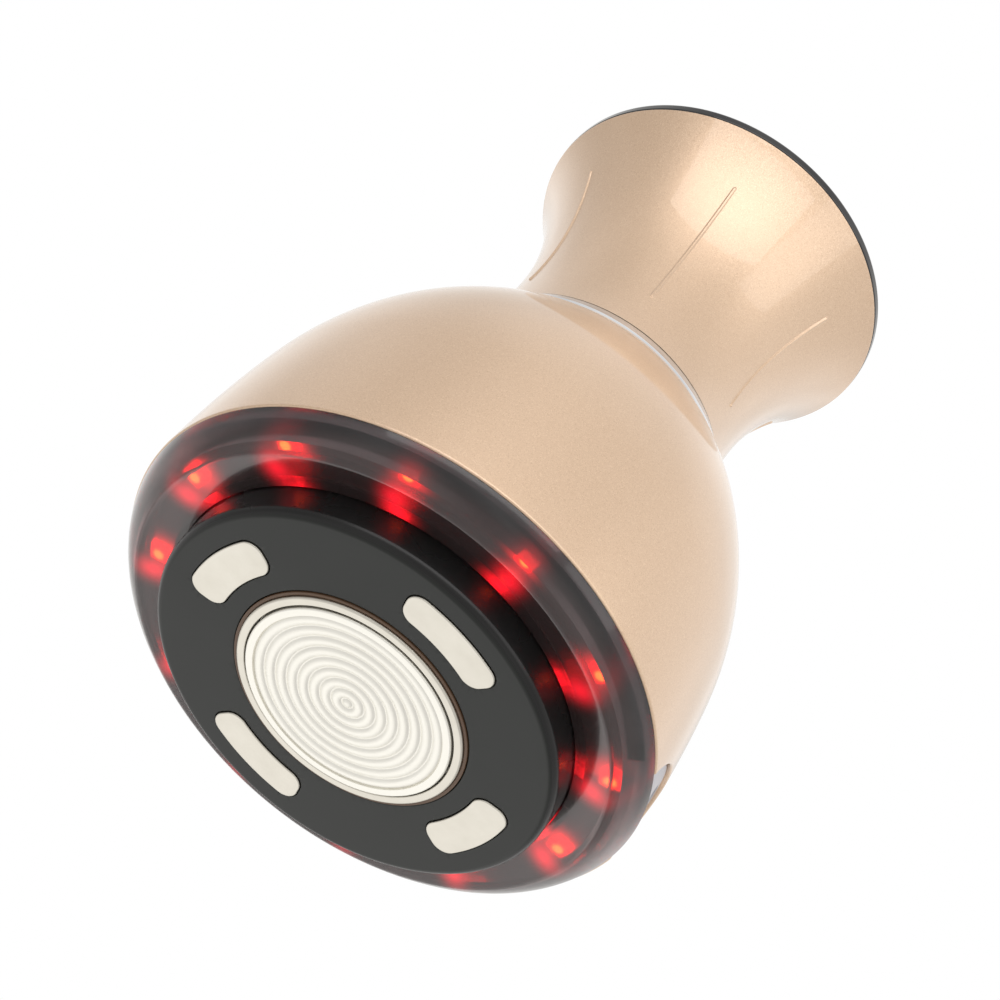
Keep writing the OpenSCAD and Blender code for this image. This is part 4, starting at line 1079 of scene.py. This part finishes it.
def makeBulb():
    b = bulb
    ease, rim = b.ease, b.rim
    firstTurn = math.asin((rim - b.notchHeight) / b.notch)
    columns = []
    for i in range(b.notchColumns + 1):
        turn = firstTurn + (math.pi - 2 * firstTurn) * i / b.notchColumns
        c, s = math.cos(turn), math.sin(turn)
        x, z = b.notch * c, b.notchHeight + b.notch * s
        # where the notch meets the rim, the column leans between the two edges
        way = (c / (1 + s), 1.0) if i in (0, b.notchColumns) else (c, s)
        up = onBulb(x + ease * way[0], z + ease * way[1])
        columns.append(bulbColumn(onBulb(x, z), onBulb(x, z, b.wall), up))
    rimRadius = bulbRadius(rim)
    cornerX = b.notch * math.cos(firstTurn)
    start = math.acos(-cornerX / rimRadius)
    end = math.acos(cornerX / rimRadius) + tau
    for i in range(1, b.rimColumns):
        angle = start + (end - start) * (i / b.rimColumns)
        up = polar(bulbRadius(rim + ease), angle, rim + ease)
        corner, inner = polar(rimRadius, angle, rim), polar(bulbRadius(rim, b.wall), angle, rim)
        columns.append(bulbColumn(corner, inner, up))
    shape = Shape()
    shape.loopOver([shape.ring([tuple(p) for p in column]) for column in columns])
    makePiece("bulbShell", shape, "gold", "gold_shell", "bulb_shell", sharpAngle=38.0)


bezel = Settings(
    outer=45.204, inner=43.004, flange=13.7, plug=12.25, foot=11.7, plugFoot=11.78,
    setback=0.8, hole=3.25, holeHeight=16.0, ease=0.2,
)


# Outline in (x, z) of a piece that fills the notch, closed along its foot
def notchOutline(radius, foot, steps=60):
    low = math.asin((foot - bulb.notchHeight) / radius)
    outline = arc((0, bulb.notchHeight), radius, low, math.pi - low, steps)
    last, first = outline[-1][0], outline[0][0]
    return outline + [(last + (first - last) * 2 * i / steps, foot) for i in range(1, steps // 2)]


# The pale piece in the notch: a flange behind the shell, and a block that fills the notch
# nearly to the body's surface, with a hole for the plug
def makeBezel():
    z = bezel
    ease = z.ease
    flange = notchOutline(z.flange, z.foot)
    block = notchOutline(z.plug, z.plugFoot)
    hole = circleLoop((0, z.holeHeight), z.hole, 48)

    def bent(radius):
        return lambda x, v: (x, math.sqrt(radius ** 2 - x * x), v)

    def skin(x, v, sink=0.0):
        return tuple(onBulb(x, v, z.setback + sink))

    shape = Shape()
    front = shape.cap([grownLoop(block, -ease), grownLoop(hole, ease)], skin, spacing=0.9)
    step = shape.cap([flange, block], bent(z.outer), spacing=1.2)
    back = shape.cap([flange, hole], bent(z.inner), spacing=1.4)
    shape.chain(shape.eased(front[0], block, -1, ease, 4, skin) + [step[1]])
    shape.chain(shape.eased(front[1], hole, 1, ease, 4, skin) + [back[1]])
    shape.bridge(step[0], back[0])
    makePiece("jackBezel", shape, "bezel", "bezel_grey", "jack_bezel")


makeBulb()
makeBezel()
print("body and bezel made")


neck = Settings(
    low=(27.5, 75.4), high=(26.17, 78.8), bulge=0.2, opening=15.5, spigot=24.07, spigotFoot=72.4,
    ease=0.12, step=0.03, gasketTop=79.2, lip=(25.45, 25.9), lipTop=79.36,
    boreRound=0.2, spigotRound=0.3, sealRound=0.05, lipRound=0.2, lipInnerRound=0.04,
)


def makeNeck():
    n = neck
    (lowR, lowZ), (highR, highZ) = n.low, n.high
    ease, step, opening = n.ease, n.step, n.opening
    centre, radius = circleThrough(n.low, ((lowR + highR) / 2 + n.bulge, (lowZ + highZ) / 2), n.high)
    start, end = bearing((lowR, lowZ + ease), centre), bearing((highR, highZ - ease), centre)
    corners = [
        (opening, n.spigotFoot, n.boreRound), (n.spigot, n.spigotFoot, n.spigotRound), (n.spigot, lowZ, 0),
        (lowR - ease, lowZ, 0), (lowR - step, lowZ + step, 0),
        *[(r, z, 0) for r, z in arcRun(centre, radius, start, end, 14)],
        (highR - step, highZ - step, 0), (highR - ease, highZ, 0), (opening, highZ, n.boreRound),
    ]
    turnedPiece("neckRing", roundedProfile(corners, 4), "chrome", "bright_metal", "neck_ring")
    # squeezed between ring and handle, the gasket bulges out in a low lip
    lipIn, lipOut = n.lip
    seal = [
        (opening, highZ, n.sealRound), (lipOut, highZ, n.sealRound), (lipOut, n.lipTop, n.lipRound),
        (lipIn, n.lipTop, n.lipInnerRound), (lipIn, n.gasketTop, 0), (opening, n.gasketTop, n.sealRound),
    ]
    turnedPiece("neckGasket", roundedProfile(seal, 3), "rubber", "black_rubber", "neck_gasket")


handle = Settings(
    bottom=79.2, top=128.4, waist=94.0, waistRadius=23.65, arc=62.8, wall=2.2, floor=2.2, opening=15.5,
    footRing=20.0, footFlat=0.6, footStep=0.06, rimRound=0.3, rimStep=0.12,
    ledge=30.91, ledgeHeight=126.0, ledgeEase=0.1, rows=96, innerRows=24, gapColumns=26, columnRadius=26.0,
    creases=6, creaseTurn=0.7, creaseLow=89.6, creaseHigh=119.0, creaseHeight=0.28,
    crestHalfWidth=0.08, flankWidth=0.34, skinMargin=0.5,
)
# Columns beside a crease crowd together: how far each is from its middle, at the column radius
creaseColumns = [0.05, 0.1, 0.15, 0.2, 0.25, 0.3, 0.35, 0.4, 0.45, 0.5, 0.56, 0.64, 0.8, 1.1]


def handleRadius(z, inset=0.0):
    h = handle
    return h.waistRadius + h.arc - math.sqrt((h.arc + inset) ** 2 - (z - h.waist) ** 2)


def handleProfile():
    h = handle
    e, bottom, top, wall = h.rimRound, h.bottom, h.top, h.wall
    foot = handleRadius(bottom) - e
    profile = [(h.opening, bottom), (h.footRing, bottom), (foot - h.footFlat, bottom)]
    profile += arcRun((foot - h.footStep, bottom + e), e, -90, -10, 4)
    low, high = bottom + e, top - e
    heights = [low + (high - low) * i / h.rows for i in range(h.rows + 1)]
    # where the creases end, rows a tenth apart take the place of the wide ones
    for end in (h.creaseLow, h.creaseHigh):
        heights = [z for z in heights if abs(z - end) > 1.0]
        heights += [end + 0.1 * i for i in range(-9, 10)]
    profile += [(handleRadius(z), z) for z in sorted(heights)]
    profile += arcRun((handleRadius(top) - e - h.rimStep, top - e), e, 20, 90, 4)
    ease, ledge, shelf = h.ledgeEase, h.ledge, h.ledgeHeight
    profile += [(ledge + ease, top), (ledge, top - ease), (ledge, shelf)]
    inLow = bottom + h.floor
    inner = [shelf + (inLow - shelf) * i / h.innerRows for i in range(h.innerRows + 1)]
    return profile + [(handleRadius(z, wall), z) for z in inner] + [(h.opening, inLow)]


def handleAngles():
    h = handle
    local = [offset / h.columnRadius for offset in creaseColumns]
    step = tau / h.creases
    free = step - 2 * local[-1]
    angles = []
    for i in range(h.creases):
        middle = i * step + math.radians(h.creaseTurn)
        angles += [middle - a for a in reversed(local)] + [middle] + [middle + a for a in local]
        angles += [middle + local[-1] + free * k / h.gapColumns for k in range(1, h.gapColumns)]
    return angles


def makeHandle():
    h = handle
    angles = handleAngles()
    shape = Shape()
    shape.loopOver([shape.ring([tuple(polar(r, a, z)) for a in angles]) for r, z in handleProfile()])
    reach = h.crestHalfWidth + h.flankWidth / 2
    values = {
        "Count": float(h.creases), "Turn": math.radians(h.creaseTurn),
        "Middle": (h.creaseLow + h.creaseHigh) / 2 * mm,
        "Half length": ((h.creaseHigh - h.creaseLow) / 2 - reach) * mm,
        "Height": h.creaseHeight * mm, "Crest half width": h.crestHalfWidth * mm,
        "Flank width": h.flankWidth * mm, "Skin radius": (h.waistRadius - h.skinMargin) * mm,
    }
    makePiece(
        "handleShell", shape, "gold", "gold_shell", "handle_shell",
        sharpAngle=60.0, rule=creaseRule, values=values,
    )


makeNeck()
makeHandle()
print("neck and handle made")


panel = Settings(
    radius=33.81, low=128.4, top=130.4, floor=129.8, under=128.0, dishFloor=26.61, dish=30.61,
    topRound=0.8, footRound=0.3, skirt=30.76, skirtFoot=126.1, skirtInner=29.26,
    power=7.0, key=4.6, gap=0.25, holeEase=0.2,
    windowCircle=22.6, windowHalf=1.4, windowSpan=60.0, windowTop=129.7, windowLow=128.1,
    windowGap=0.1, windowEase=0.2,
)
keyPlaces = {"power": (0.0, 0.0), "mode": (0.0, -17.0), "plus": (17.0, 0.0), "minus": (-17.0, 0.0)}


def windowLoop(grow):
    p = panel
    circle, width = p.windowCircle, p.windowHalf + grow
    half = math.radians(p.windowSpan / 2)
    x, y = circle * math.cos(half), circle * math.sin(half)
    loop = arc((0, 0), circle + width, -half, half, 24)
    loop += arc((x, y), width, half, half + math.pi, 12)[1:-1]
    loop += arc((0, 0), circle - width, half, -half, 24)
    loop += arc((x, -y), width, math.pi - half, tau - half, 12)[1:-1]
    return [turnPoint(q, 90) for q in loop]


def dishHeight(x, y, sink=0.0):
    p = panel
    share = (math.hypot(x, y) - p.dishFloor) / (p.dish - p.dishFloor)
    return (x, y, p.floor + (p.top - p.floor) * min(1.0, max(0.0, share)) - sink)


def makePanel():
    p = panel
    shape = Shape()
    holes = []
    for key, centre in keyPlaces.items():
        size, count = (p.power, 72) if key == "power" else (p.key, 56)
        holes.append(circleLoop(centre, size + p.gap, count))
    holes.append(windowLoop(p.windowGap))
    rim = circleLoop((0, 0), p.radius - p.topRound, around)
    guides = [circleLoop((0, 0), p[name], around) for name in ("dishFloor", "dish")]
    topLoops = [rim] + [grownLoop(loop, p.holeEase) for loop in holes]
    top = shape.cap(topLoops, dishHeight, spacing=1.7, guides=guides)
    under = shape.cap([circleLoop((0, 0), p.skirtInner, around)] + holes, flatAt(p.under), spacing=3.0)
    for loop, start, end in zip(holes, top[1:], under[1:]):
        shape.chain(shape.eased(start, loop, 1, p.holeEase, 4, dishHeight) + [end])
    profile = arcRun((p.radius - p.topRound, p.top - p.topRound), p.topRound, 90, 0, 10)[1:]
    profile += arcRun((p.radius - p.footRound, p.low + p.footRound), p.footRound, 0, -90, 6)
    profile += [(p.skirt, p.low), (p.skirt, p.skirtFoot), (p.skirtInner, p.skirtFoot)]
    shape.chain([top[0]] + shape.turned(profile, around) + [under[0]])
    makePiece("topPanel", shape, "panel", "panel_black", "top_panel")


def makeWindow():
    p = panel
    shape = Shape()
    shape.slab(windowLoop(0.0), p.windowTop, p.windowLow, p.windowEase, 4, (0.9, 1.2))
    makePiece("levelWindow", shape, "window", "smoked_plastic", "level_window")


makePanel()
makeWindow()
print("panel and window made")


keyShape = Settings(
    top=130.7, foot=126.95, flange=0.9, flangeThickness=1.0, edge=0.7, dish=0.14,
    flangeEase=0.1, footShare=0.5, segments=96, markDepth=0.3, markFill=0.08, markEase=0.04, markLift=0.001,
)
marks = Settings(
    bars=(2.6, 0.5, 1.1), minus=(3.2, 0.6), plus=(1.6, 0.3), ring=(2.8, 2.2), gapHalf=0.9,
    stroke=(-0.3, 0.8, 0.3, 3.4),
)


def barLoop(x0, y0, x1, y1):
    return [(x0, y0), (x1, y0), (x1, y1), (x0, y1)]


def markLoops(key):
    if key == "mode":
        width, height, pitch = marks.bars
        x, y = width / 2, height / 2
        return [barLoop(-x, i * pitch - y, x, i * pitch + y) for i in (-1, 0, 1)]
    if key == "minus":
        width, height = marks.minus
        return [barLoop(-width / 2, -height / 2, width / 2, height / 2)]
    if key == "plus":
        a, b = marks.plus
        right = [(b, b), (b, a), (-b, a), (-b, b), (-a, b), (-a, -b)]
        return [right + [(-x, -y) for x, y in right]]
    outer, inner = marks.ring
    first, last = math.acos(marks.gapHalf / outer), math.acos(marks.gapHalf / inner)
    ring = arc((0, 0), outer, math.pi - first, tau + first, 40)
    ring += arc((0, 0), inner, tau + last, math.pi - last, 40)
    return [ring, barLoop(*marks.stroke)]


def makeKey(key):
    k = keyShape
    radius = panel.power if key == "power" else panel.key
    body = key + "_key"
    flat = radius - k.edge

    def dished(x, y, sink=0.0):
        return (x, y, k.top - k.dish * max(0.0, 1 - (x * x + y * y) / (flat * flat)) - sink)

    shape = Shape()
    signs = markLoops(key)
    top = shape.cap([circleLoop((0, 0), flat, k.segments)] + signs, dished, spacing=0.7)
    for loop, ring in zip(signs, top[1:]):
        shape.bridge(ring, shape.cap([loop], flatAt(k.top - k.markDepth))[0])
    ledge, rim, ease = k.foot + k.flangeThickness, radius + k.flange, k.flangeEase
    profile = arcRun((flat, k.top - k.edge), k.edge, 90, 0, 9)[1:]
    profile += [(radius, ledge), (rim - ease, ledge), (rim, ledge - ease), (rim, k.foot)]
    profile += [(radius * k.footShare, k.foot)]
    rings = shape.turned(profile, k.segments)
    shape.chain([top[0]] + rings)
    shape.close(rings[-1])
    shape.moved(*keyPlaces[key])
    makePiece(key + "Key", shape, "keyCap", "panel_black", key + "_button", body)
    inlay = Shape()
    for loop in signs:
        inner = grownLoop(loop, -k.markEase)
        lid = inlay.cap([inner], lambda x, y: dished(x, y, k.markFill))
        base = inlay.cap([inner], flatAt(k.top - k.markDepth + k.markLift))
        inlay.bridge(lid[0], base[0])
    inlay.moved(*keyPlaces[key])
    makePiece(key + "Mark", inlay, "mark", "white_plastic", body=body)


for keyName in keyPlaces:
    makeKey(keyName)
print("keys made")


innerLooks = {
    "aluminium": ["transducer_front", "transducer_back", "clamp_ring", "heat_sink"],
    "steel": ["clamp_screws", "face_screws", "neck_screws", "panel_screws", "transducer_bolt", "jack_pin"],
    "ceramic": ["piezo_front", "piezo_back"],
    "copper": ["pad_contacts", "transducer_contacts", "transformer_winding"],
    "board": ["main_board", "control_board"],
    "tray": ["led_board"],
    "inner": ["chassis", "dc_jack", "key_frame", "tact_switches", "transistors", "capacitors", "neck_loom"],
    "ferrite": ["transformer_core"],
    "white": ["level_leds", "power_plunger", "mode_plunger", "plus_plunger", "minus_plunger"],
}
for look, names in innerLooks.items():
    for nodeName in names:
        nodes[nodeName].data.materials.clear()
        nodes[nodeName].data.materials.append(looks[look])
print("inner pieces dressed:", sum(map(len, innerLooks.values())))


stage = Settings(
    floorSize=8.0, floorDrop=0.0004, floorFade=(0.13, 0.42), floorWhite=0.96, backdrop=1.0,
    middle=(0.0, 0.0, 0.065),
    camera={"lens": 108.0, "sensor_width": 36.0, "shift_x": -0.0182, "shift_y": 0.020, "clip_start": 0.01},
    eye=(0.3694, 0.0723, -0.2791), right=(0.2685, 0.8373, 0.4763), up=(0.6196, -0.5287, 0.5802),
)


# Keeps the object's shadow; away from the machine it runs out into the white of the backdrop
def makeFloor():
    mesh = bpy.data.meshes.new("floor")
    h = stage.floorSize / 2
    mesh.from_pydata([(-h, -h, 0), (h, -h, 0), (h, h, 0), (-h, h, 0)], [], [(0, 1, 2, 3)])
    floor = newObject("floor", mesh)
    floor.location = (0, 0, -stage.floorDrop)
    material = bpy.data.materials.new("floorWhite")
    g = clearedGraph(material)
    clear = g.add("ShaderNodeBsdfTransparent").outputs[0]
    matt = g.add("ShaderNodeBsdfDiffuse", {"Color": (stage.floorWhite,) * 3}).outputs[0]
    white = g.add("ShaderNodeEmission", {"Color": (1.0, 1.0, 1.0), "Strength": stage.backdrop}).outputs[0]
    away = g.vector("LENGTH", {0: g.point()}, "Value")
    fade = g.mixShader(g.range(away, *stage.floorFade, smooth=True), matt, white)
    # seen from below it isn't there
    front = g.minus(1.0, g.add("ShaderNodeNewGeometry").outputs["Backfacing"])
    seen = g.times(g.add("ShaderNodeLightPath").outputs["Is Camera Ray"], front)
    g.add("ShaderNodeOutputMaterial", {"Surface": g.mixShader(seen, clear, fade)})
    mesh.materials.append(material)


tent = Settings(
    colour=(1.0, 0.985, 0.965), strength=0.85, seam=(0.30, 0.85, 0.43), seamWidth=(0.02, 0.30),
    seamLevel=0.80, cloud=(0.75, 1.1), cloudScale=1.6,
)
# Darker and brighter sides of the tent: direction, from and to what cosine, level there
tentLobes = [((0.10, -0.97, 0.20), 0.55, 0.95, 0.70), ((-0.7376, -0.1393, 0.6608), 0.2, 0.8, 1.35)]


# White everywhere for the camera; a light tent with darker seams for reflections
def makeWorld():
    world = bpy.data.worlds.new("tent")
    bpy.context.scene.world = world
    g = clearedGraph(world)
    way = g.add("ShaderNodeTexCoord").outputs["Generated"]

    def towards(direction):
        return g.vector("DOT_PRODUCT", {0: way, 1: Vector(direction).normalized()}, "Value")

    seam = g.math("ABSOLUTE", towards(tent.seam))
    level = g.times(
        g.range(seam, *tent.seamWidth, tent.seamLevel, 1.0, smooth=True),
        g.range(g.noise(way, scale=tent.cloudScale), 0.3, 0.7, *tent.cloud),
    )
    for direction, low, high, share in tentLobes:
        level = g.times(level, g.range(towards(direction), low, high, 1.0, share, smooth=True))
    lit = g.add("ShaderNodeBackground", {"Color": tent.colour, "Strength": g.times(level, tent.strength)})
    plain = g.add("ShaderNodeBackground", {"Color": (1.0, 1.0, 1.0), "Strength": stage.backdrop})
    camera = g.add("ShaderNodeLightPath").outputs["Is Camera Ray"]
    g.add("ShaderNodeOutputWorld", {"Surface": g.mixShader(camera, lit.outputs[0], plain.outputs[0])})


def makeCamera():
    data = bpy.data.cameras.new("camera")
    setAll(data, stage.camera)
    camera = newObject("camera", data)
    right = Vector(stage.right).normalized()
    up = Vector(stage.up).normalized()
    turn = Matrix((right, up, right.cross(up).normalized())).transposed().to_4x4()
    camera.matrix_world = Matrix.Translation(Vector(stage.eye)) @ turn
    bpy.context.scene.camera = camera
    return camera


# Area lamps: name, place from the object's middle (right, up and back, as the camera sees it),
# width and height, power, colour
lampsAround = [
    ("keyLight", (0.22, 0.50, 0.44), (0.96, 0.42), 1.9, (1.0, 0.985, 0.985)),
    ("fillLight", (0.55, 0.05, 0.30), (0.30, 0.50), 0.4, (1.0, 0.99, 0.98)),
    ("lowLight", (-0.40, -0.52, -0.05), (0.50, 0.40), 0.33, (1.0, 0.99, 0.97)),
]


def makeLights(camera):
    middle = Vector(stage.middle)
    axes = camera.matrix_world.to_3x3()
    for name, place, (width, height), power, colour in lampsAround:
        data = bpy.data.lights.new(name, "AREA")
        setAll(data, {"shape": "RECTANGLE", "size": width, "size_y": height})
        setAll(data, {"energy": power, "color": colour})
        lamp = newObject(name, data)
        lamp.location = middle + axes @ Vector(place)
        lamp.rotation_euler = (middle - lamp.location).to_track_quat("-Z", "Y").to_euler()
        lamp.visible_camera = False


makeFloor()
makeWorld()
makeLights(makeCamera())
bpy.context.scene.view_settings.view_transform = "Standard"
print("stage made")
